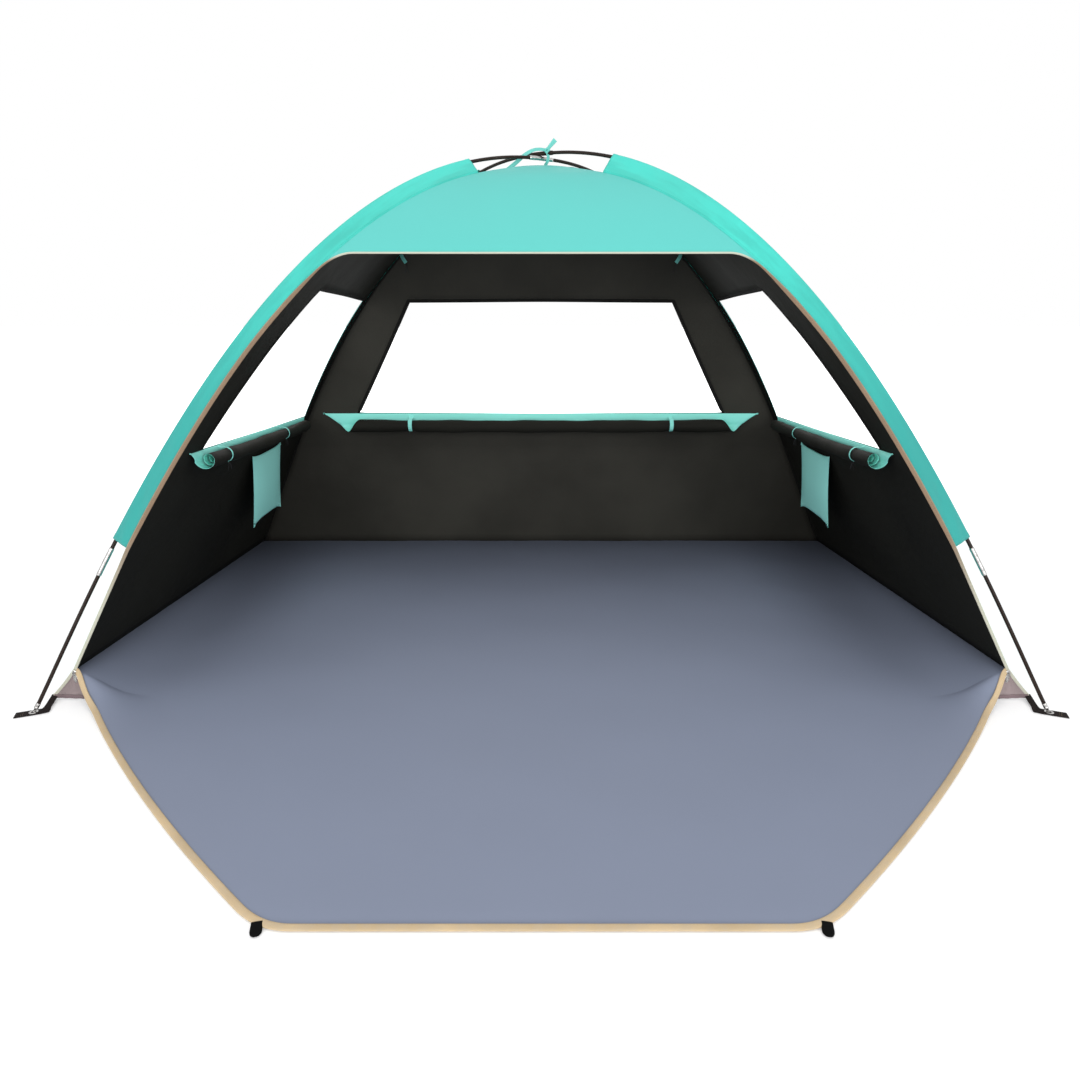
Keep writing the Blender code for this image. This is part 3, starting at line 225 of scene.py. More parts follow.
def make_crease_group():
    """Soft creases and tone of handled cloth: broad noise for tone, warped finer noise for creases."""
    group, start, end = socket_group(
        "Cloth creases", {"Vector": None, "Tone scale": 3.0, "Crease scale": 18.0}, ("Tone", "Crease"))
    vector = start.outputs["Vector"]
    group.links.new(noise_value(group, vector, start.outputs["Tone scale"]), end.inputs["Tone"])
    crease = noise_value(group, vector, start.outputs["Crease scale"], 5.0)
    ridge = math_node(group, "ABSOLUTE", math_node(group, "SUBTRACT", crease, 0.5))
    group.links.new(math_node(group, "SUBTRACT", 1.0, math_node(group, "MULTIPLY", ridge, 4.0)),
                    end.inputs["Crease"])
    return group


def make_dust_group():
    """Dust and sand that fade out with height above the ground, broken up by noise."""
    group, start, end = socket_group("Ground dust", {"Vector": None, "Reach": 0.05}, ("Mask",))
    height = coordinate(group, start.outputs["Vector"], "Z")
    share = math_node(group, "DIVIDE", height, start.outputs["Reach"])
    fade = math_node(group, "MAXIMUM", math_node(group, "SUBTRACT", 1.0, share), 0.0)
    speckle = map_range(group, noise_value(group, start.outputs["Vector"], 60.0, 6.0), 0.35, 0.7, 0.0, 1.0)
    group.links.new(math_node(group, "MULTIPLY", fade, speckle), end.inputs["Mask"])
    return group


WEAVE = make_weave_group()
RIBS = make_rib_group()
CREASES = make_crease_group()
DUST = make_dust_group()


# Materials
def place_group(tree, group, vector, **values):
    """An effect group with its vector linked and its own numbers set."""
    node = tree.nodes.new("ShaderNodeGroup")
    node.node_tree = group
    tree.links.new(vector, node.inputs["Vector"])
    for label, value in values.items():
        node.inputs[label.replace("_", " ")].default_value = value
    return node


def mix_colour(tree, share, first, second):
    """A Mix node between two colours, which are sockets or plain values."""
    node = tree.nodes.new("ShaderNodeMix")
    node.data_type = "RGBA"
    tree.links.new(share, node.inputs["Factor"])
    for target, value in ((node.inputs[6], first), (node.inputs[7], second)):
        if isinstance(value, bpy.types.NodeSocket):
            tree.links.new(value, target)
        else:
            target.default_value = (*value, 1.0)
    return node.outputs[2]


def shaded(colour, factor):
    """The colour with each part multiplied by a factor, held at 1."""
    return tuple(min(part * factor, 1.0) for part in colour)


def new_material(name, roughness, metallic=0.0, sheen=0.0, specular=0.5):
    """A material with its Principled shader and the coordinates that its patterns read."""
    material = bpy.data.materials.new(name)
    material.use_nodes = True
    tree = material.node_tree
    shader = tree.nodes["Principled BSDF"]
    shader.inputs["Roughness"].default_value = roughness
    shader.inputs["Metallic"].default_value = metallic
    shader.inputs["Sheen Weight"].default_value = sheen
    shader.inputs["Specular IOR Level"].default_value = specular
    coordinates = tree.nodes.new("ShaderNodeTexCoord")
    return material, tree, shader, coordinates.outputs["Object"], coordinates.outputs["UV"]


def link_bump(tree, shader, layers):
    """A chain of Bump nodes from (height, strength, distance) layers into the shader's normal."""
    last = None
    for height, strength, distance in layers:
        bump = tree.nodes.new("ShaderNodeBump")
        bump.inputs["Strength"].default_value = strength
        bump.inputs["Distance"].default_value = distance
        tree.links.new(height, bump.inputs["Height"])
        if last is not None:
            tree.links.new(last, bump.inputs["Normal"])
        last = bump.outputs["Normal"]
    tree.links.new(last, shader.inputs["Normal"])


def cloth_material(name, colour, roughness, pitch, crease=0.25, tone=0.06, sheen=0.0, dust=0.0,
                   specular=0.35, crease_scale=16.0, shade=0.0, streaks=0.0, low=None):
    """Woven cloth: tone that drifts, creases, a fine weave and, near the ground, dust.

    A shade darkens the cloth towards the rear of the tent: painted shade that stands in for the shade under
    the canopy.
    Streaks are long darker lines along the cloth, painted shade of its folds, and a low colour is the darker
    one that
    it goes over to below the roof: painted shade for the lower cloth, which gets less light.
    """
    material, tree, shader, place, flat = new_material(name, roughness, sheen=sheen, specular=specular)
    creases = place_group(tree, CREASES, place, Tone_scale=2.6, Crease_scale=crease_scale)
    weave = place_group(tree, WEAVE, flat, Pitch=pitch)
    share = map_range(tree, creases.outputs["Tone"], 0.3, 0.7, 0.0, 1.0)
    base = mix_colour(tree, share, shaded(colour, 1 - tone), shaded(colour, 1 + tone))
    threads = map_range(tree, weave.outputs["Height"], 0.0, 1.0, 0.0, 0.10)
    base = mix_colour(tree, threads, base, shaded(colour, 0.55))
    # Painted shade: long darker streaks that stand in for the shade of the cloth's folds.
    if streaks:
        fold_shade_noise = noise_value(tree, flat, 1.0, 3.0, (36.0, 6.5, 1.0))
        base = mix_colour(tree, map_range(tree, fold_shade_noise, 0.40, 0.66, 0.0, streaks), base, shaded(colour, 0.45))
    # Painted shade: the cloth goes over to a darker colour towards its lower end, as less light falls there.
    if low:
        height = map_range(tree, coordinate(tree, place, "Z"), 0.55, 1.10, 0.85, 0.0)
        base = mix_colour(tree, height, base, low)
    # Painted shade: the cloth darkens towards the rear of the tent, in place of the canopy's shade.
    if shade:
        depth = map_range(tree, coordinate(tree, place, "Y"), 0.15, 0.92, 0.0, shade)
        base = mix_colour(tree, depth, base, shaded(colour, 0.25))
    if dust:
        mask = place_group(tree, DUST, place, Reach=dust)
        cover = math_node(tree, "MULTIPLY", mask.outputs["Mask"], 0.35)
        base = mix_colour(tree, cover, base, (0.46, 0.42, 0.36))
    tree.links.new(base, shader.inputs["Base Color"])
    rough = map_range(tree, creases.outputs["Tone"], 0.3, 0.7, roughness - 0.05, roughness + 0.05)
    tree.links.new(rough, shader.inputs["Roughness"])
    link_bump(tree, shader, [(creases.outputs["Crease"], crease, 0.002),
                             (weave.outputs["Height"], 0.25, pitch * 0.15)])
    return material


def tape_material(name, colour, pitch, roughness=0.8, strength=0.5, dust=0.04, edge=0.8, faded=None,
                  specular=0.3):
    """Woven tape or webbing: ribs along its length, tone from the noise and painted shade in the hollows
    between the ribs.

    Where a faded colour is given, the tape goes over to it towards the ground and on the visor's edge.
    """
    material, tree, shader, place, flat = new_material(name, roughness, specular=specular)
    ribs = place_group(tree, RIBS, flat, Pitch=pitch)
    creases = place_group(tree, CREASES, place, Tone_scale=9.0, Crease_scale=40.0)
    share = map_range(tree, creases.outputs["Tone"], 0.3, 0.7, 0.0, 1.0)
    base = mix_colour(tree, share, shaded(colour, 0.92), shaded(colour, 1.08))
    # Painted shade: the hollows between the ribs go darker.
    valley_shade = map_range(tree, ribs.outputs["Height"], 0.1, 0.6, 0.35, 0.0)
    base = mix_colour(tree, valley_shade, base, shaded(colour, edge * 0.6))
    if faded:
        foot = map_range(tree, coordinate(tree, place, "Z"), 0.18, 0.42, 1.0, 0.0)
        brow = map_range(tree, coordinate(tree, place, "Z"), 0.985, 1.004, 0.0, 1.0)
        base = mix_colour(tree, math_node(tree, "MAXIMUM", foot, brow), base, faded)
    mask = place_group(tree, DUST, place, Reach=dust)
    cover = math_node(tree, "MULTIPLY", mask.outputs["Mask"], 0.25)
    base = mix_colour(tree, cover, base, (0.46, 0.42, 0.36))
    tree.links.new(base, shader.inputs["Base Color"])
    link_bump(tree, shader, [(ribs.outputs["Height"], strength, pitch * 0.3),
                             (creases.outputs["Crease"], 0.15, 0.001)])
    return material


def rod_material():
    """Pultruded fibreglass: black resin with fine streaks along the rod and scuffs at places."""
    material, tree, shader, place, flat = new_material("fibreglass_black", 0.34, specular=0.16)
    streaks = noise_value(tree, flat, 1.0, 4.0, (900.0, 14.0, 1.0))
    scuffs = map_range(tree, noise_value(tree, place, 24.0, 5.0), 0.55, 0.75, 0.0, 1.0)
    base = mix_colour(tree, streaks, (0.010, 0.0062, 0.0050), (0.034, 0.021, 0.016))
    base = mix_colour(tree, math_node(tree, "MULTIPLY", scuffs, 0.35), base, (0.050, 0.042, 0.038))
    tree.links.new(base, shader.inputs["Base Color"])
    tree.links.new(map_range(tree, scuffs, 0.0, 1.0, 0.26, 0.48), shader.inputs["Roughness"])
    link_bump(tree, shader, [(streaks, 0.15, 0.0002)])
    return material


def steel_material():
    """Nickel-plated steel: bright metal with turning marks, dull scuffs and a few dark specks."""
    material, tree, shader, place, flat = new_material("nickel_plate", 0.28, metallic=1.0)
    marks = noise_value(tree, flat, 1.0, 3.0, (60.0, 1500.0, 1.0))
    scuffs = map_range(tree, noise_value(tree, place, 90.0, 5.0), 0.45, 0.7, 0.0, 1.0)
    specks = map_range(tree, noise_value(tree, place, 420.0, 2.0), 0.70, 0.78, 0.0, 1.0)
    base = mix_colour(tree, scuffs, (0.56, 0.55, 0.54), (0.36, 0.35, 0.34))
    base = mix_colour(tree, math_node(tree, "MULTIPLY", specks, 0.5), base, (0.16, 0.15, 0.14))
    tree.links.new(base, shader.inputs["Base Color"])
    tree.links.new(map_range(tree, scuffs, 0.0, 1.0, 0.20, 0.42), shader.inputs["Roughness"])
    link_bump(tree, shader, [(marks, 0.12, 0.0001)])
    return material


TEAL = cloth_material("canopy_teal", (0.103, 0.527, 0.484), 0.60, 0.0011, crease=0.08, tone=0.012,
                      sheen=0.03)
# The sleeves carry painted shade: darker low down, and in long streaks for the shade of their folds.
SLEEVE_TEAL_PAINTED_SHADE = cloth_material("sleeve_teal_painted_shade", (0.052, 0.590, 0.500), 0.50, 0.0011, crease=0.30, tone=0.08,
                             sheen=0.04, crease_scale=11.0, streaks=0.24, low=(0.023, 0.295, 0.275))
# The flaps' teal is a lighter copy of the canopy teal: painted light on the rolls, which sit in shade under
# their sills.
FLAP_TEAL_PAINTED_LIGHT = cloth_material("flap_teal_painted_light", (0.300, 0.930, 0.820), 0.60, 0.0011, crease=0.2, tone=0.05)
# The pockets' teal is a lighter copy of the canopy teal: painted light on pockets that hang in the tent's
# shade.
POCKET_TEAL_PAINTED_LIGHT = cloth_material("pocket_teal_painted_light", (0.400, 0.990, 0.900), 0.60, 0.0011, crease=0.12, tone=0.02)
LINING = cloth_material("lining_black", (0.0165, 0.0165, 0.0135), 0.70, 0.0011, crease=0.55, tone=0.18,
                        specular=0.08, crease_scale=9.0)
# The rear wall's lining is a lighter copy of the black lining: painted light on the inside of the rear wall.
REAR_LINING_PAINTED_LIGHT = cloth_material("rear_lining_black_painted_light", (0.0400, 0.0385, 0.0325), 0.70, 0.0011, crease=0.55,
                             tone=0.20, specular=0.10, crease_scale=9.0)
# The floor cloth carries painted shade that darkens it towards the rear of the tent.
FLOOR_CLOTH_PAINTED_SHADE = cloth_material("floor_blue_grey_painted_shade", (0.214, 0.245, 0.330), 0.72, 0.0014, crease=0.08, tone=0.012,
                             crease_scale=5.0, shade=0.54)
GUSSET_CLOTH = cloth_material("gusset_mauve", (0.300, 0.240, 0.242), 0.75, 0.0010, crease=0.55, tone=0.15,
                              dust=0.02, crease_scale=60.0)
GUSSET_HEM = cloth_material("gusset_hem_plum", (0.200, 0.145, 0.155), 0.75, 0.0010, crease=0.4, tone=0.15,
                            crease_scale=60.0)
PORCH_TAPE = tape_material("porch_tape_tan", (0.610, 0.465, 0.285), 0.0016)
OPENING_TAPE = tape_material("opening_tape_taupe", (0.270, 0.185, 0.120), 0.0013, faded=(0.56, 0.56, 0.46))
PIPING_TAPE = tape_material("opening_piping_tan", (0.335, 0.262, 0.180), 0.0013, faded=(0.58, 0.62, 0.50))
WEBBING = tape_material("webbing_black", (0.013, 0.008, 0.0075), 0.0018, strength=0.9, dust=0.001,
                        specular=0.15)
TAB_BLACK = tape_material("tab_black", (0.003, 0.003, 0.003), 0.0018, strength=0.3, dust=0.001,
                          specular=0.08)
RIBBON = tape_material("ribbon_teal", (0.180, 0.620, 0.560), 0.0009, strength=0.3, dust=0.001)
STRAP_RIBBON = tape_material("strap_ribbon_teal", (0.320, 0.930, 0.830), 0.0009, strength=0.3, dust=0.001)
SEAM_TAPE = tape_material("seam_tape_black", (0.010, 0.010, 0.009), 0.0012, strength=0.4, dust=0.001,
                          specular=0.12)
THREAD_DARK = tape_material("thread_dark", (0.050, 0.300, 0.270), 0.0006, dust=0.001)
THREAD_BLACK = tape_material("thread_black", (0.045, 0.044, 0.040), 0.0006, dust=0.001, specular=0.1)
THREAD_TAN = tape_material("thread_tan", (0.400, 0.300, 0.190), 0.0006, dust=0.001)
CORD_BLACK = tape_material("elastic_cord_black", (0.030, 0.030, 0.032), 0.0010, strength=0.8, dust=0.001,
                           specular=0.15)
RODS = rod_material()
STEEL = steel_material()


# Surfaces
def add_surface(name, points, materials, body, wrap_rows=False, wrap_columns=False, caps=False, keep=None,
                out_from=None, wall=0.0, slot=None, replaces=(), offset=0.0):
    """One mesh from a grid of points in tent coordinates, rows by columns, as quads between neighbours.

    keep masks the quads that stay. Faces turn away from the point out_from, or, on a closed surface,
    outwards by its signed volume. The UV map holds arc length: across the columns, then down the rows.
    A wall gives the sheet its thickness, with the second material on its back.
    """
    points = np.asarray(points, float)
    rows, columns = points.shape[:2]
    grid = np.arange(rows * columns).reshape(rows, columns)
    across = np.linalg.norm(np.diff(points, axis=1, append=points[:, :1]), axis=2).mean(0)
    down = np.linalg.norm(np.diff(points, axis=0, append=points[:1]), axis=2).mean(1)
    u = np.concatenate([[0.0], np.cumsum(across)])
    v = np.concatenate([[0.0], np.cumsum(down)])
    i, j = np.meshgrid(np.arange(rows if wrap_rows else rows - 1),
                       np.arange(columns if wrap_columns else columns - 1), indexing="ij")
    if keep is not None:
        i, j = i[keep], j[keep]
    i, j = i.ravel(), j.ravel()
    steps = ((0, 0), (0, 1), (1, 1), (1, 0))
    quads = np.stack([grid[(i + a) % rows, (j + b) % columns] for a, b in steps], axis=1)
    uvs = np.stack([np.stack([u[j + b], v[i + a]], axis=1) for a, b in steps], axis=1)
    flat = points.reshape(-1, 3)
    corners = flat[quads]
    normals = np.cross(corners[:, 2] - corners[:, 0], corners[:, 3] - corners[:, 1])
    centres = corners.mean(1)
    origin = flat.mean(0) if out_from is None else np.asarray(out_from, float)
    flipped = np.sum(normals * (centres - origin)) < 0
    if flipped:
        quads, uvs = quads[:, ::-1], uvs[:, ::-1]
    loops = quads.ravel()
    uv = uvs.reshape(-1, 2)
    starts = np.arange(len(quads)) * 4
    if caps:
        for ring, backwards in ((grid[0], not flipped), (grid[-1], flipped)):
            starts = np.append(starts, len(loops))
            loops = np.append(loops, ring[::-1] if backwards else ring)
            uv = np.vstack([uv, np.zeros((len(ring), 2))])
    return build_mesh(name, flat, loops, starts, uv, materials, body, wall, replaces, offset)


def build_mesh(name, points, loops, starts, uv, materials, body, wall=0.0, replaces=(),
               offset=0.0):
    """The mesh object from whole arrays, shaded smooth, riding on its body, in the frame's place."""
    used, loops = np.unique(loops, return_inverse=True)
    mesh = bpy.data.meshes.new(name)
    mesh.vertices.add(len(used))
    mesh.vertices.foreach_set("co", (points[used] + MIDDLE).astype(np.float32).ravel())
    mesh.loops.add(len(loops))
    mesh.loops.foreach_set("vertex_index", loops.astype(np.int32).ravel())
    mesh.polygons.add(len(starts))
    mesh.polygons.foreach_set("loop_start", starts.astype(np.int32))
    mesh.update(calc_edges=True)
    mesh.uv_layers.new(name="Arc").data.foreach_set("uv", uv.astype(np.float32).ravel())
    mesh.polygons.foreach_set("use_smooth", np.ones(len(starts), bool))
    mesh.validate()
    obj = bpy.data.objects.new(name, mesh)
    bpy.context.scene.collection.objects.link(obj)
    for material in materials if isinstance(materials, (list, tuple)) else [materials]:
        mesh.materials.append(material)
    if wall:
        modifier = obj.modifiers.new("Wall", "SOLIDIFY")
        modifier.thickness = wall
        modifier.offset = offset
        modifier.use_even_offset = True
        modifier.material_offset = len(mesh.materials) - 1
    if body:
        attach(obj, body)
    if replaces:
        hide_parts(*replaces)
    return obj


def unit(vectors):
    """The vectors at length 1."""
    return vectors / np.maximum(np.linalg.norm(vectors, axis=-1, keepdims=True), 1e-12)


def turned(points, sign_x, sign_y):
    """Points mirrored across the tent's middle planes where a sign is -1."""
    return points * np.array([sign_x, sign_y, 1.0])


def mix(first, second, share):
    """The value a share of the way from the first to the second."""
    return first + (second - first) * share


def smooth_step(value, low, high):
    """0 below low, 1 above high, and 3 s^2 - 2 s^3 of the share s between."""
    share = np.clip((value - low) / (high - low), 0.0, 1.0)
    return share * share * (3 - 2 * share)


def bump_at(value, centre, width):
    """A bell curve: exp(-((value - centre) / width)^2)."""
    return np.exp(-((value - centre) / width) ** 2)


def ripple(u, v, seed, waves=6, longest=0.35, shortest=0.07):
    """A sum of sines of falling length whose directions and phases step on from a seed; about -1 to 1."""
    total = np.zeros(np.broadcast(u, v).shape)
    for k in range(waves):
        length = longest * (shortest / longest) ** (k / max(waves - 1, 1))
        angle = seed * 1.7 + k * 2.399
        phase = seed * 5.1 + k * 1.313
        total = total + np.sin((u * math.cos(angle) + v * math.sin(angle)) * 2 * math.pi / length + phase) \
            * (length / longest) ** 0.8
    return total / math.sqrt(waves)


def tangents(path, closed=False):
    """Unit vectors along a path, from each point's two neighbours."""
    if closed:
        return unit(np.roll(path, -1, axis=0) - np.roll(path, 1, axis=0))
    return unit(np.gradient(path, axis=0))


def resample(path, count):
    """The same path with points at even steps of its length."""
    steps = np.concatenate([[0.0], np.cumsum(np.linalg.norm(np.diff(path, axis=0), axis=1))])
    even = np.linspace(0.0, steps[-1], count)
    return np.stack([np.interp(even, steps, path[:, k]) for k in range(3)], axis=1)


def rounded_path(corners, count, rounds=2):
    """A path through given corners, cut twice at the quarter points of each leg, then evenly spaced."""
    path = np.asarray(corners, float)
    for _ in range(rounds):
        quarter = mix(path[:-1], path[1:], 0.25)
        three = mix(path[:-1], path[1:], 0.75)
        inner = np.stack([quarter, three], axis=1).reshape(-1, 3)
        path = np.vstack([path[:1], inner, path[-1:]])
    return resample(path, count)


def band(path, normals, width, thickness, closed=False, sides=12, squareness=0.45):
    """A tape along a path: a rounded-box section, width across it and thickness along its normals.

    The section is (w/2 cos^q, t/2 sin^q) with signs kept. Where the path turns a corner the section is
    widened by one over the cosine of half the turn, so that the tape keeps its width.
    """
    along = tangents(path, closed)
    normals = unit(normals - along * np.sum(normals * along, axis=1, keepdims=True))
    across = np.cross(along, normals)
    before = unit(path - np.roll(path, 1, axis=0))
    after = unit(np.roll(path, -1, axis=0) - path)
    if not closed:
        before[0], after[-1] = after[0], before[-1]
    stretch = 1.0 / np.clip(np.sqrt((1 + np.sum(before * after, axis=1)) / 2), 0.6, 1.0)
    angle = np.linspace(0, 2 * math.pi, sides, endpoint=False) + math.pi / sides
    x = np.sign(np.cos(angle)) * np.abs(np.cos(angle)) ** squareness
    y = np.sign(np.sin(angle)) * np.abs(np.sin(angle)) ** squareness
    width = np.broadcast_to(np.asarray(width, float), (len(path),)) * stretch / 2
    thickness = np.broadcast_to(np.asarray(thickness, float), (len(path),)) / 2
    return (path[:, None] + across[:, None] * (width[:, None] * x)[..., None]
            + normals[:, None] * (thickness[:, None] * y)[..., None])


def add_band(name, path, normals, width, thickness, material, body, closed=False, **options):
    """The mesh of a band, capped where its path is open."""
    normals = np.broadcast_to(np.asarray(normals, float), path.shape)
    points = band(path, normals, width, thickness, closed)
    return add_surface(name, points, material, body, wrap_rows=closed, wrap_columns=True,
                       caps=not closed, **options)


def tube(path, radii, sides=16, side_way=None):
    """A round bar: rings of the given radii about a path, in a frame that keeps one side way."""
    along = tangents(path)
    side_way = np.array([0.0, 0.0, 1.0]) if side_way is None else side_way
    across = unit(np.cross(along, side_way))
    up = np.cross(across, along)
    angle = np.linspace(0, 2 * math.pi, sides, endpoint=False)
    radii = np.broadcast_to(np.asarray(radii, float), (len(path),))
    ring = across[:, None] * np.cos(angle)[:, None] + up[:, None] * np.sin(angle)[:, None]
    return path[:, None] + ring * radii[:, None, None]


def add_stitches(name, path, normals, pitch, length, thickness, material, body, offset=None):
    """A row of stitches: for each, an eight-faced bead along the path, set on its normals.

    The beads' middles lie at even steps of the path's length, moved by offset where one is given.
    """
    count = max(int(np.linalg.norm(np.diff(path, axis=0), axis=1).sum() / pitch), 2)
    normals = np.broadcast_to(np.asarray(normals, float), path.shape)
    steps = np.linspace(0.0, 1.0, len(path))
    even = resample(path, count)
    up = unit(np.stack([np.interp(np.linspace(0, 1, count), steps, normals[:, k]) for k in range(3)], 1))
    along = tangents(even)
    across = np.cross(along, up)
    if offset is not None:
        even = even + across * offset[0] + up * offset[1]
    ends = np.array([[1, 0, 0], [-1, 0, 0], [0, 1, 0], [0, -1, 0], [0, 0, 1], [0, 0, -1]])
    scale = np.array([length / 2, thickness / 2, thickness / 2])
    basis = np.stack([along, across, up], axis=1)
    points = even[:, None] + np.einsum("kc,ncx->nkx", ends * scale, basis)
    faces = np.array([[0, 2, 4], [2, 1, 4], [1, 3, 4], [3, 0, 4],
                      [2, 0, 5], [1, 2, 5], [3, 1, 5], [0, 3, 5]])
    loops = (np.arange(count)[:, None, None] * 6 + faces).ravel()
    starts = np.arange(count * 8) * 3
    uv = points.reshape(-1, 3)[loops][:, :2]
    return build_mesh(name, points.reshape(-1, 3), loops, starts, uv, material, body)


# The bow of a pole and the ridge seam beside it, in the quadrant x > 0, y > 0
def bow_height(reach, top):
    """Height falls from the crossing as top (1 - (reach / foot reach)^2.11)^(1 / 0.95)."""
    share = np.clip(reach / POLE_REACH, 0.0, 1.0)
    return top * (1.0 - share ** BOW_POWER) ** (1.0 / BOW_ROOT_POWER)


def bow_point(reach, top, rear=False):
    """A point of the bow. Its rear half is pulled sideways by the canopy, behind the ridge seam, by a
    shift that grows away from the crossing and dies out towards the foot."""
    reach = np.asarray(reach, float)
    point = reach[..., None] * ALONG + bow_height(reach, top)[..., None] * np.array([0.0, 0.0, 1.0])
    if not rear:
        return point
    shift = REAR_BOW * smooth_step(reach, 0.06, 0.60) * (1 - smooth_step(reach, 1.00, POLE_REACH))
    return point + ASIDE * shift[..., None]


def bow_slope(reach, top):
    """The bow's rise per metre of reach, from two points beside the place."""
    step = POLE_REACH / 4000
    inner, outer = np.maximum(reach - step, 0.0), np.minimum(reach + step, POLE_REACH)
    return (bow_height(outer, top) - bow_height(inner, top)) / (outer - inner)


def seam_under_pole(reach):
    """The sleeve's root: its width away from the pole, leaning out of the pole's plane by an angle that
    goes from one lean to the other between two shares of the reach."""
    share = np.clip((reach / POLE_REACH - LEAN_SHARES[0]) / (LEAN_SHARES[1] - LEAN_SHARES[0]), 0.0, 1.0)
    lean = mix(LEANS[0], LEANS[1], share)[..., None]
    slope = bow_slope(reach, CROSSING_HEIGHT)[..., None]
    outward = unit(np.array([0.0, 0.0, 1.0]) - ALONG * slope)
    return (bow_point(reach, CROSSING_HEIGHT) - outward * SLEEVE_WIDTH * np.cos(lean)
            + ASIDE * SLEEVE_WIDTH * np.sin(lean))


REACHES = np.linspace(0.0, POLE_REACH, 4001)
SLEEVE_LOW_REACH = float(np.interp(-SLEEVE_LOW_HEIGHT, -bow_height(REACHES, CROSSING_HEIGHT), REACHES))
SEAM_REACHES = np.linspace(SLEEVE_TOP_REACH, SLEEVE_LOW_REACH, 400)
SEAM_TABLE = seam_under_pole(SEAM_REACHES)[::-1]
SEAM_LOW, SEAM_TOP = SEAM_TABLE[0], SEAM_TABLE[-1]


def seam(height, corner_x):
    """The ridge seam at each height: straight up from its floor corner, then under the pole, then a low
    peak that falls with a power of the distance from its top."""
    height = np.asarray(height, float)
    low = np.clip(height / SEAM_LOW[2], 0.0, 1.0)
    dome = np.clip((CANOPY_TOP - height) / (CANOPY_TOP - SEAM_TOP[2]), 0.0, 1.0) ** (1 / PEAK_POWER)
    ends = []
    for k, corner in ((0, corner_x), (1, HALF_DEPTH)):
        under = np.interp(height, SEAM_TABLE[:, 2], SEAM_TABLE[:, k])
        value = np.where(height < SEAM_LOW[2], mix(corner, SEAM_LOW[k], low), under)
        ends.append(np.where(height > SEAM_TOP[2], SEAM_TOP[k] * dome, value))
    return np.stack([ends[0], ends[1], height], axis=-1)


def seam_heights(foot, sill, top, rows):
    """Row heights up a seam in five bands: to the sleeve's end, the sill, the window's top, the sleeve's
    upper end and the peak."""
    marks = (foot, SEAM_LOW[2], sill, top, SEAM_TOP[2])
    heights = [np.linspace(a, b, n, endpoint=False) for a, b, n in zip(marks, marks[1:], rows)]
    share = np.linspace(1.0, PEAK_SHARE, rows[-1] + 1)
    heights.append(CANOPY_TOP - (CANOPY_TOP - SEAM_TOP[2]) * share ** 2)
    return np.concatenate(heights)


# Lifted front corners
def corner_lift(x, y):
    """How high the floor is pulled up: the corner's lift, times a bell curve that falls away from the side
    edge and widens towards the rear, times a straight ramp from the rear edge to the front one, times a
    falling exponential in front of it."""
    spread = LIFT_SPREAD + LIFT_WIDENING * smooth_step(y, -HALF_DEPTH, -0.30)
    side = np.exp(-0.5 * ((LIFTED_EDGE_X - np.minimum(np.abs(x), LIFTED_EDGE_X)) / spread) ** 2)
    run = np.clip((HALF_DEPTH - y) / (2 * HALF_DEPTH), 0.0, 1.0)
    front = np.exp(-np.clip(-HALF_DEPTH - y, 0.0, None) / FLOOR_FRONT_FALL)
    return CORNER_LIFT * side * run * front


def floor_edge_x(y, height):
    """The side wall's x where it meets the floor at a height, on the ruled wall between its two seams."""
    share = (y + HALF_DEPTH) / (2 * HALF_DEPTH)
    front = seam(height, FRONT_CORNER_X)[..., 0]
    rear = seam(height, REAR_CORNER_X)[..., 0]
    return mix(front, rear, share)


def ground_waves(x, y, side_share):
    """How the floor lies on uneven ground: a shallow sum of sines that is still at the side edges."""
    return 0.0011 * (1 + ripple(x, y, 2.0, longest=0.5, shortest=0.12)) * (1 - side_share ** 8)


# Walls: rows in five bands up the wall and columns in three, with the window in the middle ones
WALL_ROWS = (12, 8, 20, 14, 6)
SILL_ROW, TOP_ROW = WALL_ROWS[0] + WALL_ROWS[1], WALL_ROWS[0] + WALL_ROWS[1] + WALL_ROWS[2]
WALL_COLUMNS = (8, 36, 8)


def window_columns(first, second, columns):
    """Column shares for each row: even steps up to the window, across it and beyond it."""
    a, b, c = columns
    left = first[:, None] * np.linspace(0, 1, a, endpoint=False)
    hole = first[:, None] + (second - first)[:, None] * np.linspace(0, 1, b, endpoint=False)
    right = second[:, None] + (1 - second)[:, None] * np.linspace(0, 1, c + 1)
    return np.concatenate([left, hole, right], axis=1)


def window_levels():
    """How far each row is up the window, held at 0 below it and at 1 above it."""
    rows = np.arange(sum(WALL_ROWS) + 1)
    return np.clip((rows - SILL_ROW) / (TOP_ROW - SILL_ROW), 0.0, 1.0), np.clip(rows, SILL_ROW, TOP_ROW)


def window_mask(shape):
    """The quads of a wall that stay: all but those inside its window."""
    keep = np.ones((shape[0] - 1, shape[1] - 1), bool)
    keep[SILL_ROW:TOP_ROW, WALL_COLUMNS[0]:WALL_COLUMNS[0] + WALL_COLUMNS[1]] = False
    return keep


def edge_fade(shape, columns=3.0, rows=3.0):
    """A factor that is 0 on the border of a grid and near 1 a few rows and columns inside it."""
    i = np.arange(shape[0])[:, None]
    j = np.arange(shape[1])[None, :]
    near_row = np.minimum(i, shape[0] - 1 - i) / rows
    near_column = np.minimum(j, shape[1] - 1 - j) / columns
    return np.clip(near_row, 0, 1) * np.clip(near_column, 0, 1)


def window_fade(shape):
    """0 on the window's border and 1 away from it, so that the hem stays flat."""
    i = np.arange(shape[0])[:, None]
    j = np.arange(shape[1])[None, :]
    first, last = WALL_COLUMNS[0], WALL_COLUMNS[0] + WALL_COLUMNS[1]
    rows = np.maximum(np.maximum(SILL_ROW - i, i - TOP_ROW), 0)
    columns = np.maximum(np.maximum(first - j, j - last), 0)
    return np.clip(np.hypot(rows, columns) / 3.0, 0.0, 1.0)


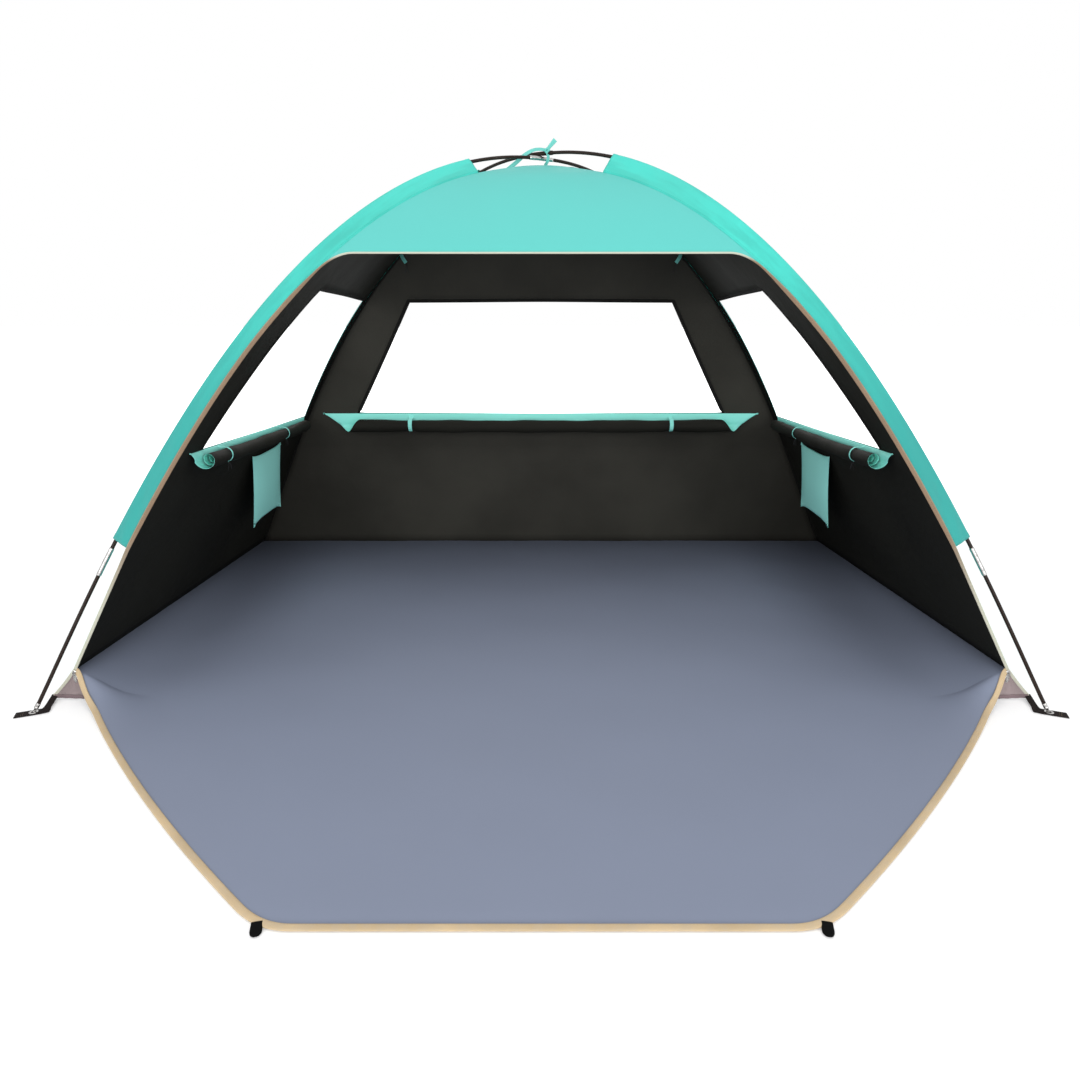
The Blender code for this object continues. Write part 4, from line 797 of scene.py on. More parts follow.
def side_wall_points():
    """The right-hand wall, ruled between the front and the rear seam row by row, with shallow ripples."""
    front_heights = seam_heights(CORNER_LIFT, *SIDE_FRONT_HEIGHTS, WALL_ROWS)
    rear_heights = seam_heights(0.0012, *SIDE_REAR_HEIGHTS, WALL_ROWS)
    front = turned(seam(front_heights, FRONT_CORNER_X), 1, -1)
    rear = seam(rear_heights, REAR_CORNER_X)
    level, nearest = window_levels()
    shares = []
    for sill_y, top_y in zip(*SIDE_HOLE_Y):
        y = mix(sill_y, top_y, level)
        shares.append((y - front[nearest, 1]) / (rear[nearest, 1] - front[nearest, 1]))
    share = window_columns(shares[0], shares[1], WALL_COLUMNS)
    points = mix(front[:, None], rear[:, None], share[..., None])
    rough = ripple(points[..., 1], points[..., 2], 3.0)
    fade = edge_fade(share.shape) * window_fade(share.shape)
    return points + np.array([1.0, 0.0, 0.35]) * (0.0022 * rough * fade)[..., None]


def rear_wall_points():
    """The rear wall, straight from seam to seam at each height, with shallow ripples."""
    heights = seam_heights(0.0012, *REAR_HEIGHTS, WALL_ROWS)
    ends = seam(heights, REAR_CORNER_X)
    level, nearest = window_levels()
    half = mix(REAR_HOLE_HALF[0], REAR_HOLE_HALF[1], level) / ends[nearest, 0]
    share = window_columns((1 - half) / 2, (1 + half) / 2, WALL_COLUMNS)
    points = mix(turned(ends, -1, 1)[:, None], ends[:, None], share[..., None])
    rough = ripple(points[..., 0], points[..., 2], 8.0, longest=0.5)
    fade = edge_fade(share.shape) * window_fade(share.shape)
    return points + np.array([0.0, 1.0, 0.3]) * (0.0022 * rough * fade)[..., None]


INSIDE = np.array([0.0, 0.0, 0.45])


def window_path(points):
    """The window's border, once round: along the sill, up one side, back along the top and down."""
    first, last = WALL_COLUMNS[0], WALL_COLUMNS[0] + WALL_COLUMNS[1]
    sill = points[SILL_ROW, first:last]
    side = points[SILL_ROW:TOP_ROW, last]
    top = points[TOP_ROW, last:first:-1]
    back = points[TOP_ROW:SILL_ROW:-1, first]
    return np.concatenate([sill, side, top, back])


def add_window_hem(name, points):
    """A hem round the window: one band outside in the canopy's colour and one inside in the lining's."""
    path = window_path(points)
    centre = path.mean(0)
    normal = unit(np.cross(path[0] - centre, path[len(path) // 4] - centre))
    if np.dot(normal, centre - INSIDE) < 0:
        normal = -normal
    away = unit(path - centre)
    seat = path + away * (HEM_WIDTH * 0.42)
    for side, sign, material, thread in (("outside", 1, TEAL, THREAD_DARK),
                                         ("inside", -1, SEAM_TAPE, THREAD_BLACK)):
        add_band(f"{name}_hem_{side}", seat + normal * sign * (CLOTH / 2 + 0.0006), normal, HEM_WIDTH,
                 0.0010, material, "canopy", closed=True,
                 slot="canopy_fabric" if sign > 0 else "coated_lining")
        add_stitches(f"{name}_hem_stitches_{side}", seat + away * HEM_WIDTH * 0.3
                     + normal * sign * (CLOTH / 2 + 0.0012), normal * sign, 0.0055, 0.0038, 0.0007,
                     thread, "canopy")


def make_walls():
    """Both side walls and the rear wall, each a sheet with a hemmed window."""
    right = side_wall_points()
    for side, sign in SIDES:
        points = turned(right, sign, 1)
        wall = add_surface(f"side_wall_{side}", points, [TEAL, LINING], "canopy",
                           keep=window_mask(points.shape), out_from=INSIDE, wall=CLOTH, slot="canopy_fabric",
                           replaces=[f"side_panel_{side}"])
        add_window_hem(f"side_window_{side}", points)
    points = rear_wall_points()
    wall = add_surface("rear_wall", points, [TEAL, REAR_LINING_PAINTED_LIGHT], "canopy", keep=window_mask(points.shape),
                       out_from=INSIDE, wall=CLOTH, slot="canopy_fabric", replaces=["rear_panel"])
    add_window_hem("rear_window", points)


def make_seam_tapes():
    """Black tape over the ridge seams inside: rear ones from the floor to the peak, front ones above the
    visor's edge; and a ribbon loop that hangs from each rear seam under the roof."""
    for side, sign in SIDES:
        for row, sign_y, corner, low, width in (("rear", 1, REAR_CORNER_X, 0.010, 0.0100),
                                                ("front", -1, FRONT_CORNER_X, 1.03, 0.0070)):
            line = turned(seam(np.linspace(low, CANOPY_TOP - 0.004, 140), corner), sign, sign_y)
            inward = unit(np.array([0.0, 0.0, 0.62]) - line)
            seat = line + inward * (0.0062 if row == "rear" else 0.0050)
            add_band(f"seam_tape_{row}_{side}", seat, inward, width, 0.0013, SEAM_TAPE, "canopy",
                     slot="coated_lining")
            add_stitches(f"seam_tape_stitches_{row}_{side}", seat + inward * 0.0008, inward, 0.0055, 0.0036,
                         0.0006, THREAD_BLACK, "canopy", offset=(width * 0.3, 0.0))
        start = turned(seam(1.046, REAR_CORNER_X), sign, 1) + np.array([-sign * 0.004, -0.006, -0.003])
        drop = np.array([[-0.004, 0.0, 0.004], [0.0, -0.008, -0.006], [0.006, -0.012, -0.016],
                         [0.013, -0.012, -0.026]])
        path = rounded_path(start + turned(drop, -sign, 1), 24)
        add_band(f"ceiling_tie_{side}", path, (0.2 * sign, -1.0, 0.3), 0.0110, 0.0014, RIBBON, "canopy",
                 slot="canopy_fabric")
        for k, lean in enumerate((0.003, 0.014)):
            thread = np.array([[0.012, -0.012, -0.025], [0.012 + lean * 0.4, -0.013, -0.040],
                               [0.006 + lean, -0.012, -0.056]])
            add_surface(f"ceiling_tie_end_{side}_{k + 1}",
                        tube(rounded_path(start + turned(thread, -sign, 1), 12), 0.0009, 8,
                             np.array([0.0, 1.0, 0.0])),
                        CORD_BLACK, "canopy", wrap_columns=True, caps=True, slot="shock_cord")


# Visor and the tape round the opening
def opening_half_path(count=120):
    """Half of the opening's edge, from the right foot to the middle of the visor: up the seam, then a
    curve between two tangent points beside the corner, then level."""
    inset = VISOR_TAPE_WIDTH / 2
    corner_x = float(seam(VISOR_EDGE, FRONT_CORNER_X)[0]) - inset
    heights = np.linspace(CORNER_LIFT - 0.002, VISOR_EDGE - VISOR_FILLET, count)
    leg = seam(heights, FRONT_CORNER_X)
    start = leg[-1, 0] - inset
    share = np.linspace(0.0, 1.0, 16)[1:]
    bend_x = (start * (1 - share) ** 2 + corner_x * 2 * share * (1 - share)
              + (corner_x - VISOR_FILLET) * share ** 2)
    bend_z = ((VISOR_EDGE - VISOR_FILLET) * (1 - share) ** 2 + VISOR_EDGE * 2 * share * (1 - share)
              + VISOR_EDGE * share ** 2)
    level_x = np.linspace(corner_x - VISOR_FILLET, 0.0, 60)[1:]
    x = np.concatenate([leg[:, 0] - inset, bend_x, level_x])
    z = np.concatenate([heights, bend_z, np.full(len(level_x), VISOR_EDGE)])
    return np.stack([x, -seam(z, FRONT_CORNER_X)[:, 1], z], axis=1)


def visor_sag(x, z):
    """A shallow inward bow of the visor's free edge, which dies out with height."""
    return 0.004 * np.clip(1 - (x / 0.48) ** 2, 0, 1) * np.exp(-np.clip(z - VISOR_EDGE, 0, None) / 0.04)


def make_visor():
    """The visor: columns fan out from the peak and end on the opening's edge, so the edge is exact."""
    half = opening_half_path()
    column = np.sin(np.linspace(-math.pi / 2, math.pi / 2, 81))
    order = np.argsort(half[:, 0] / seam(half[:, 2], FRONT_CORNER_X)[:, 0])
    edge_share = (half[:, 0] / seam(half[:, 2], FRONT_CORNER_X)[:, 0])[order]
    edge_height = np.interp(np.abs(column) * edge_share[-1], edge_share, half[order, 2])
    edge_height = np.maximum(edge_height, VISOR_EDGE - VISOR_FILLET - 0.01)
    level = np.linspace(0.0, 1.0, 44)
    height = edge_height + (CANOPY_TOP - 0.0004 - edge_height) * (1 - (1 - level[:, None]) ** 1.6)
    ends = seam(height, FRONT_CORNER_X)
    x = ends[..., 0] * column
    y = -ends[..., 1] + visor_sag(x, height)
    rough = 0.0012 * ripple(x, height, 5.0, longest=0.6, shortest=0.15) * edge_fade(height.shape, 6, 3)
    points = np.stack([x, y - rough, height], axis=2)
    visor = add_surface("visor_cloth", points, [TEAL, LINING], "canopy", out_from=INSIDE, wall=CLOTH,
                        slot="canopy_fabric", replaces=["visor_panel"])
    return half


def make_opening_tape(half):
    """One folded tape from foot to foot round the opening, with a row of stitches near its inner edge.

    In front the stitches start above the zip, whose slider runs on the tape's lower part.
    """
    whole = resample(np.vstack([half, turned(half[-2::-1], -1, 1)]), 420)
    whole[:, 1] += visor_sag(whole[:, 0], whole[:, 2]) * (whole[:, 2] > VISOR_EDGE - 0.002)
    above = whole[:, 2] > ZIP_TOP_HEIGHT
    normal = np.array([0.0, -1.0, 0.0])
    width = mix(TAPE_WIDTH, VISOR_TAPE_WIDTH, smooth_step(whole[:, 2], 0.90, 0.99))
    width = mix(LEG_TAPE_WIDTH, width, smooth_step(whole[:, 2], 0.30, 0.44))
    add_band("opening_tape", whole + normal * 0.0004, normal, width, 0.0026, OPENING_TAPE, "canopy",
             slot="tan_tape", replaces=["opening_binding"])
    across = np.cross(tangents(whole), normal)
    inner = whole + across * (width / 2 - 0.0008)[:, None] + normal * 0.0004
    share = mix(0.30, 0.62, smooth_step(whole[:, 2], 0.95, 1.0))
    add_band("opening_piping", inner, normal, width * share, 0.0034, PIPING_TAPE, "canopy", slot="tan_tape")
    for label, sign in (("front", 1), ("back", -1)):
        line = whole[above] if label == "front" else whole
        add_stitches(f"opening_tape_stitches_{label}", line + normal * (0.0004 + sign * 0.0013),
                     normal * sign, 0.005, 0.0034, 0.0007, THREAD_TAN, "canopy",
                     offset=(0.0006 * sign, 0.0))


# Sleeves
def sleeve_points(top, rear):
    """Rings along the bow: a small blunt root on the seam, two flat plies, then round the pole.

    A ring's points are (down, aside) from the pole. Slanting folds push both plies aside together, by a sum
    of sines that fades at the root and at the pole and is deeper towards both ends of the sleeve.
    """
    reach = np.linspace(SLEEVE_LOW_REACH, SLEEVE_TOP_REACH, 220)
    pole = bow_point(reach, top, rear)
    along = -tangents(pole)
    down = seam_under_pole(reach) - pole
    down = down - along * np.sum(down * along, axis=1, keepdims=True)
    width = np.linalg.norm(down, axis=1)
    down = down / width[:, None]
    aside = np.cross(along, down)
    walked = np.concatenate([[0.0], np.cumsum(np.linalg.norm(np.diff(pole, axis=0), axis=1))])
    hem = np.where(walked < 0.012, 0.0006, 0.0) + np.where(walked > walked[-1] - 0.012, 0.0006, 0.0)
    radius = SLEEVE_RADIUS + hem
    arc = np.radians(np.linspace(80, 280, 15))
    flat = np.linspace(0.0, 1.0, 8, endpoint=False)
    first = (np.cos(arc[0]), np.sin(arc[0]))
    last = (np.cos(arc[-1]), np.sin(arc[-1]))
    root = 0.0010 + hem
    d_flat = width[:, None] * (1 - flat) + radius[:, None] * first[0] * flat
    a_flat = root[:, None] * (1 - flat) + radius[:, None] * first[1] * flat
    d_back = (width[:, None] * (1 - flat) + radius[:, None] * last[0] * flat)[:, ::-1]
    a_back = (-root[:, None] * (1 - flat) + radius[:, None] * last[1] * flat)[:, ::-1]
    d = np.concatenate([d_flat, radius[:, None] * np.cos(arc), d_back], axis=1)
    a = np.concatenate([a_flat, radius[:, None] * np.sin(arc), a_back], axis=1)
    share = np.clip(d / width[:, None], 0.0, 1.0)
    ends = np.exp(-walked / 0.16) + np.exp(-(walked[-1] - walked) / 0.10)
    depth = (0.0036 * ends + 0.0030 * np.exp(-walked / 0.10) + 0.0012)[:, None]
    waves = ripple(walked[:, None] + share * 0.085, share * 0.02, 4.0, 7, 0.30, 0.045)
    a = a + depth * waves * np.sin(math.pi * share) ** 0.8
    return pole[:, None] + down[:, None] * d[..., None] + aside[:, None] * a[..., None]


def make_sleeves():
    """The four sleeves and the stitches along their roots."""
    for name, top_side, sign_x, sign_y in (("front_left", -1, -1, -1), ("rear_right", -1, 1, 1),
                                           ("front_right", 1, 1, -1), ("rear_left", 1, -1, 1)):
        top = CROSSING_HEIGHT + top_side * CROSSING_HALF
        points = turned(sleeve_points(top, sign_y > 0), sign_x, sign_y)
        sleeve = add_surface(f"pole_sleeve_{name}", points, SLEEVE_TEAL_PAINTED_SHADE, "canopy", wrap_columns=True,
                             wall=0.0006, slot="canopy_fabric", replaces=[f"sleeve_{name}"])
        root = points[:, 0] * 0.85 + points[:, 4] * 0.15
        side = unit(points[:, 4] - points[:, -5])
        add_stitches(f"sleeve_stitches_{name}", root + side * 0.0010, side, 0.0055, 0.0036, 0.0007,
                     THREAD_DARK, "canopy")


# Poles
def pole_walk(top):
    """A table of reach against the length along the bow, measured from the foot."""
    reach = POLE_REACH * np.cos(np.linspace(0.0, math.pi / 2, 3001))
    points = bow_point(reach, top)
    return reach, np.concatenate([[0.0], np.cumsum(np.linalg.norm(np.diff(points, axis=0), axis=1))])


def bow_line(start, stop, count, top, rear, signs):
    """Even points of a pole's bow between two lengths from its foot, in the quadrant of the signs."""
    reach, walked = pole_walk(top)
    places = np.interp(np.linspace(start, stop, count), walked, reach)
    return turned(bow_point(places, top, rear), *signs)


def make_pole(label, top, front_sign):
    """One pole: for each half a tip, a lower rod, a ferrule and an upper rod, and a ferrule and a cord
    that both halves share. The upper rod swells to a ferrule's radius at each joint that a sleeve hides."""
    total = pole_walk(top)[1][-1]
    section = (total - FIRST_JOINT) / (HIDDEN_JOINTS + 1)
    half = FERRULE_LENGTH / 2
    for end, sign_x, sign_y in (("front", front_sign, -1), ("rear", -front_sign, 1)):
        tag = f"pole_{label}_{end}"
        place = (top, end == "rear", (sign_x, sign_y))
        side_way = turned(ASIDE, sign_x, sign_y)
        tip = tip_points(bow_line(0.0, TIP_LENGTH, 3, *place), side_way)
        add_surface(f"{tag}_tip_turned", tip, STEEL, "canopy", wrap_columns=True, caps=True,
                    slot="plated_steel", replaces=[f"{tag}_tip"])
        line = bow_line(TIP_LENGTH + ROD_GAP, FIRST_JOINT - ROD_GAP, 24, *place)
        add_surface(f"{tag}_lower_rod_round", tube(line, ROD_RADIUS, 20, side_way), RODS, "canopy",
                    wrap_columns=True, caps=True, slot="fibreglass_rod", replaces=[f"{tag}_lower_rod"])
        places = np.linspace(FIRST_JOINT + ROD_GAP, total - 0.0002, 150)
        swell = np.full(len(places), ROD_RADIUS)
        for k in range(1, HIDDEN_JOINTS + 1):
            middle = FIRST_JOINT + section * k
            swell += (FERRULE_RADIUS - ROD_RADIUS) * (np.abs(places - middle) < half)
        line = bow_line(places[0], places[-1], len(places), *place)
        add_surface(f"{tag}_upper_rod_round", tube(line, swell, 20, side_way), RODS, "canopy",
                    wrap_columns=True, caps=True, slot="fibreglass_rod", replaces=[f"{tag}_upper_rod"])
        line = bow_line(FIRST_JOINT - half, FIRST_JOINT + half, 30, *place)
        add_surface(f"{tag}_ferrule_drawn", ferrule_points(line, side_way), STEEL, "canopy",
                    wrap_columns=True, wrap_rows=True, slot="plated_steel", replaces=[f"{tag}_ferrule"])
    side_way = turned(ASIDE, front_sign, -1)
    crossing = turned(bow_point(np.linspace(half, 0.0, 15), top), front_sign, -1)
    crossing = np.vstack([crossing, turned(crossing[-2::-1], -1, -1)])
    add_surface(f"pole_{label}_crossing_ferrule_drawn", ferrule_points(crossing, side_way),
                STEEL if label == "a" else RODS, "canopy", wrap_columns=True, wrap_rows=True,
                slot="plated_steel", replaces=[f"pole_{label}_crossing_ferrule"])
    cord = bow_line(TIP_LENGTH + 0.004, total, 120, top, False, (front_sign, -1))
    back = bow_line(TIP_LENGTH + 0.004, total, 120, top, True, (-front_sign, 1))
    add_surface(f"pole_{label}_cord_round", tube(np.vstack([cord, back[-2::-1]]), CORD_RADIUS, 8, side_way),
                CORD_BLACK, "canopy", wrap_columns=True, caps=True, slot="shock_cord",
                replaces=[f"pole_{label}_shock_cord"])


def tip_points(line, side_way):
    """A turned tip: a pin with a rounded nose, a shoulder with a bevel, and a collar with one groove."""
    profile = np.array([(0.0, 0.0008), (0.02, 0.0019), (0.06, 0.0027), (0.12, 0.0030), (0.44, 0.0030),
                        (0.46, 0.0044), (0.49, 0.0049), (0.62, 0.0049), (0.64, 0.0045), (0.67, 0.0045),
                        (0.69, 0.0049), (0.95, 0.0049), (0.99, 0.0046)])
    foot = line[0] + np.array([0.0, 0.0, 0.0012])
    path = foot + (line[-1] - foot) * profile[:, :1]
    return tube(path, profile[:, 1], 24, side_way)


def ferrule_points(line, side_way):
    """A drawn ferrule: outside with rolled ends and two crimp rings, then back along its bore."""
    share = np.linspace(0.0, 1.0, len(line))
    lip = np.clip(np.minimum(share, 1 - share) / 0.02, 0.0, 1.0)
    crimp = 0.00035 * (bump_at(share, 0.16, 0.018) + bump_at(share, 0.84, 0.018))
    outer = FERRULE_RADIUS - 0.0005 * (1 - lip) - crimp
    outside = tube(line, outer, 28, side_way)
    inside = tube(line, np.full(len(line), ROD_RADIUS + 0.0002), 28, side_way)
    return np.concatenate([outside, inside[::-1]])


# Floor and porch
def make_main_floor():
    """The floor cloth: flat, with faint ripples, its front corners lifted by the corner straps. Its sides
    end on the walls, which lean in, so a lifted edge is a little narrower."""
    y = np.linspace(-HALF_DEPTH, HALF_DEPTH, 80)
    y = np.insert(y, [1, -1], [-HALF_DEPTH + 0.0004, HALF_DEPTH - 0.0004])[:, None]
    column = np.sin(np.linspace(-math.pi / 2, math.pi / 2, 121))[None, :]
    flat_half = mix(FRONT_CORNER_X, REAR_CORNER_X, (y + HALF_DEPTH) / (2 * HALF_DEPTH))
    edge_height = corner_lift(np.full_like(y, LIFTED_EDGE_X), y)
    half = np.minimum(flat_half, floor_edge_x(y, edge_height))
    x = half * column
    lift = corner_lift(x * LIFTED_EDGE_X / half, y + 0 * x)
    z = CLOTH_SEAT + lift + ground_waves(x, y, np.abs(column))
    points = np.stack([x, y + 0 * x, z], axis=2)
    floor = add_surface("floor_cloth", points, FLOOR_CLOTH_PAINTED_SHADE, "canopy", out_from=(0.0, 0.0, -9.0),
                        wall=CLOTH, slot="floor_fabric", replaces=["main_floor"])


def porch_side():
    """The middle of the porch's tape on the right, from the lifted floor corner to the middle of the front.

    It runs to the porch's front corner on a line that bulges by a parabola, turns that corner on a curve
    between two tangent points and follows the front. Its height above the ground is the corner's lift
    times a falling exponential of the length walked, with a round start that is held at the lift just in
    front of the seam. Near the corner it also stands a little further out.
    """
    base = np.array([PORCH_BASE_X, -HALF_DEPTH])
    corner = np.array([PORCH_CORNER_X, -HALF_DEPTH - PORCH_LENGTH])
    run = corner - base
    normal = np.array([-run[1], run[0]]) / np.linalg.norm(run)
    share = np.linspace(0.0, 1.0, 80)[:, None]
    edge = base + run * share + normal * PORCH_BULGE * 4 * share * (1 - share)
    edge = edge[np.linalg.norm(edge - corner, axis=1) > PORCH_FILLET]
    end = corner - np.array([PORCH_FILLET, 0.0])
    bend = np.linspace(0.0, 1.0, 20)[1:, None]
    arc = edge[-1] * (1 - bend) ** 2 + corner * 2 * bend * (1 - bend) + end * bend ** 2
    front = end + (np.array([0.0, corner[1]]) - end) * np.linspace(0.0, 1.0, 30)[1:, None]
    flat = np.vstack([edge, arc, front])
    plan = resample(np.column_stack([flat, np.zeros(len(flat))]), 240)
    along = tangents(plan)
    inward = np.stack([along[:, 1], -along[:, 0], 0 * along[:, 0]], axis=1)
    inward = inward * -np.sign(np.sum(inward * normal_to(plan), axis=1, keepdims=True))
    ground = plan + inward * PORCH_TAPE_WIDTH / 2 + np.array([0.0, 0.0, PORCH_TAPE_SEAT])
    walked = np.concatenate([[0.0], np.cumsum(np.linalg.norm(np.diff(ground, axis=0), axis=1))])
    ground[:, 0] += 0.0095 * (1 - smooth_step(walked, 0.03, 0.13)) + 0.0050 * np.exp(-walked / 0.012)
    ground[:, 2] += (CORNER_LIFT - 0.0035) * np.exp(-(np.hypot(walked, LIFT_ROUND) - LIFT_ROUND) / LIFT_FALL)
    near = np.exp(-(-HALF_DEPTH - ground[:, 1]) / LIFT_ROUND)
    ground[:, 2] = mix(ground[:, 2], CORNER_LIFT + TAPE_OVER_CLOTH, np.clip(near, 0.0, 1.0))
    return resample(ground, 280)


def normal_to(plan):
    """The way out from the porch's middle, for each point of its edge."""
    return plan - np.array([0.0, -0.85, 0.0])


def make_porch():
    """The porch cloth and its rounded tape; both leave the lifted floor corner and fall to the ground.

    The cloth's rows run across the tent, from the middle of one tape to that of the other. Its lift is the
    tape's height there times a bell curve of the distance from the tape.
    """
    right = porch_side()
    y = -HALF_DEPTH - (PORCH_LENGTH - 0.0075) * np.linspace(0.0, 1.0, 130) ** 1.8
    falling = right[right[:, 1] > right[-1, 1] + 1e-5]
    edge_x = np.interp(-y, -falling[:, 1], falling[:, 0])[:, None]
    edge_z = np.interp(-y, -falling[:, 1], falling[:, 2])[:, None]
    column = np.sin(np.linspace(-math.pi / 2, math.pi / 2, 121))[None, :]
    x = edge_x * column
    depth = y[:, None] + 0 * x
    ahead = -HALF_DEPTH - depth
    border = mix(edge_x, LIFTED_EDGE_X, np.exp(-ahead / LIFT_ROUND))
    away = (border - np.minimum(np.abs(x), border)) / LIFT_SPREAD
    lift = (edge_z - TAPE_OVER_CLOTH) * np.exp(-0.5 * away ** 2)
    z = CLOTH_SEAT + lift + ground_waves(x, depth, np.abs(column)) * (1 - smooth_step(-depth, 1.24, 1.275))
    points = np.stack([x, depth, z], axis=2)
    cloth = add_surface("porch_cloth", points, FLOOR_CLOTH_PAINTED_SHADE, None, out_from=(0.0, -0.9, -9.0), wall=CLOTH,
                        slot="floor_fabric", replaces=["porch_floor"])
    path = np.vstack([right, turned(right[-2::-1], -1, 1)])
    upright = smooth_step(path[:, 2], 0.006, 0.03)[:, None]
    normals = unit(mix(np.array([0.0, 0.0, 1.0]), np.array([0.0, -1.0, 0.35]), upright))
    points = band(path, normals, PORCH_TAPE_WIDTH, 0.0042, sides=16, squareness=0.7)
    tape = add_surface("porch_tape", points, PORCH_TAPE, None, wrap_columns=True, caps=True, slot="tan_tape",
                       replaces=["porch_binding"])
    stitches = add_stitches("porch_tape_stitches", path, normals, 0.0055, 0.0038, 0.0008, THREAD_TAN, None,
                            offset=(0.0040, 0.0017))
    for piece in (cloth, tape, stitches):
        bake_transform(piece)


# Corner fittings
def make_foot_straps():
    """A webbing strap for each corner: front ones leave the floor's corner and fold towards the pole."""
    foot = np.append(POLE_FOOT, 0.0012)
    tail = foot + ALONG * 0.0395
    front_tail = foot + np.array([0.0345, 0.0130, 0.0])
    front = np.array([[1.1560, HALF_DEPTH + 0.005, 0.0110], [1.1510, 0.636, 0.0045], [1.1460, 0.663, 0.0016],
                      foot, front_tail])
    rear = np.array([foot - ALONG * 0.062, foot, tail])
    for row, sign_y, corners in (("front", -1, front), ("rear", 1, rear)):
        path = np.vstack([np.linspace(a, b, 12, endpoint=False) for a, b in zip(corners, corners[1:])]
                         + [corners[-1:]])
        for side, sign_x in (("left", -1), ("right", 1)):
            line = turned(path, sign_x, sign_y)
            reach = line - turned(foot, sign_x, sign_y)
            gathered = smooth_step(np.linalg.norm(reach, axis=1), 0.018, 0.030)
            inside = reach @ turned(ALONG, sign_x, sign_y) < 0
            width = 0.025 - 0.0095 * gathered * inside * (row == "front")
            add_band(f"corner_strap_{row}_{side}", line, (0.0, 0.0, 1.0), width, 0.0020, WEBBING, "canopy",
                     slot="black_webbing", replaces=[f"foot_strap_{row}_{side}"])
            across = turned(ASIDE, sign_x, sign_y)
            for k, place in enumerate((0.0205, 0.0245)):
                middle = turned(foot + unit((front_tail if row == "front" else tail) - foot) * place,
                                sign_x, sign_y)
                row_path = np.linspace(middle - across * 0.0095, middle + across * 0.0095, 8)
                add_stitches(f"strap_stitches_{row}_{side}_{k + 1}", row_path + np.array([0, 0, 0.0012]),
                             (0.0, 0.0, 1.0), 0.0030, 0.0022, 0.0007, THREAD_TAN, "canopy")


def make_gussets():
    """The mauve triangle under each lifted corner: rows from its top point to its foot, with small folds
    that fan out from the top, and a hem band along the foot."""
    top = np.array([1.1035, CORNER_LIFT + 0.002])
    inner = np.array([1.0850, 0.0022])
    outer = np.array([1.1580, 0.0050])
    level = np.linspace(0.02, 1.0, 30)[:, None]
    share = np.linspace(0.0, 1.0, 34)[None, :]
    x = mix(mix(top[0], inner[0], level), mix(top[0], outer[0], level), share)
    z = mix(mix(top[1], inner[1], level), mix(top[1], outer[1], level), share)
    z = z + 0.002 * level * np.sin(math.pi * share)
    fold = 0.0030 * np.sin(share * 2 * math.pi * 3.2 + 0.7 + 1.5 * level) * level * (1.15 - level)
    y = -HALF_DEPTH - 0.0022 - 0.0085 * level ** 2 - 0.0035 * level ** 2 * np.sin(math.pi * share) - fold
    points = np.stack([x, y, z], axis=2)
    for side, sign in SIDES:
        cloth = add_surface(f"gusset_cloth_{side}", turned(points, sign, 1), GUSSET_CLOTH, "canopy",
                            out_from=INSIDE, wall=0.0008, slot="gusset_fabric",
                            replaces=[f"corner_gusset_{side}"])
        hem = turned(points[-3] + np.array([0.0, -0.0010, 0.0]), sign, 1)
        add_band(f"gusset_hem_{side}", hem, (0.0, -1.0, 0.0), 0.0095, 0.0022, GUSSET_HEM, "canopy",
                 slot="gusset_fabric")
        add_stitches(f"gusset_hem_stitches_{side}", hem + np.array([0.0, -0.0009, 0.0030]), (0.0, -1.0, 0.0),
                     0.0045, 0.0032, 0.0007, THREAD_TAN, "canopy")
        leg = turned(rounded_path([[1.1020, -HALF_DEPTH - 0.001, CORNER_LIFT + 0.004],
                                   [1.1290, -HALF_DEPTH - 0.005, 0.039],
                                   [1.1560, -HALF_DEPTH - 0.010, 0.0100]], 30), sign, 1)
        add_band(f"leg_end_tape_{side}", leg, (0.0, -1.0, 0.0), 0.0070, 0.0022, OPENING_TAPE, "canopy",
                 slot="tan_tape")


def make_peg_tabs():
    """A black tab on each front corner of the porch: a thick flat tongue whose end is round in plan."""
    for side, sign in SIDES:
        low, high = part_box(f"peg_tab_{side}")
        middle_x = (low.x + high.x) / 2
        start_y = -HALF_DEPTH - PORCH_LENGTH + 0.016
        length = 0.026
        nose = 0.0095
        walked = length * np.sin(np.linspace(0.0, math.pi / 2, 40))
        x = middle_x + sign * (0.0095 - 0.22 * walked)
        path = np.stack([x, start_y - walked, PORCH_TAPE_SEAT + 0 * walked], 1)
        share = np.sqrt(np.clip(1 - (np.clip(walked - length + nose, 0, None) / nose) ** 2, 0.0025, 1.0))
        add_band(f"peg_loop_{side}", path, (0.0, 0.0, 1.0), 0.0180 * share, 0.0052 * share ** 0.6, TAB_BLACK,
                 "porch", slot="black_webbing", replaces=[f"peg_tab_{side}"])


# Rolled flaps
def roll_section(radius, drop, count=96, turns=2.5):
    """The flap's section as (into, up) and its length: down from the sill, then a spiral whose radius is
    the roll's, less a quarter of it for each turn."""
    turn = np.linspace(0.0, turns, count)
    angle = math.pi + 2 * math.pi * turn
    winding = radius * (1 - 0.25 * turn)
    into = radius + 0.0005 + winding * np.cos(angle)
    up = -drop + winding * np.sin(angle)
    strip_up = np.linspace(0.0, up[0], 10, endpoint=False)
    strip = np.stack([0.0026 + 0.002 * np.sin(math.pi * strip_up / up[0]), strip_up + 0.0018], 1)
    section = np.vstack([[[0.0013, 0.0012]], strip, np.stack([into, up], 1)])
    length = np.concatenate([[0.0], np.cumsum(np.linalg.norm(np.diff(section, axis=0), axis=1))])
    return section, length


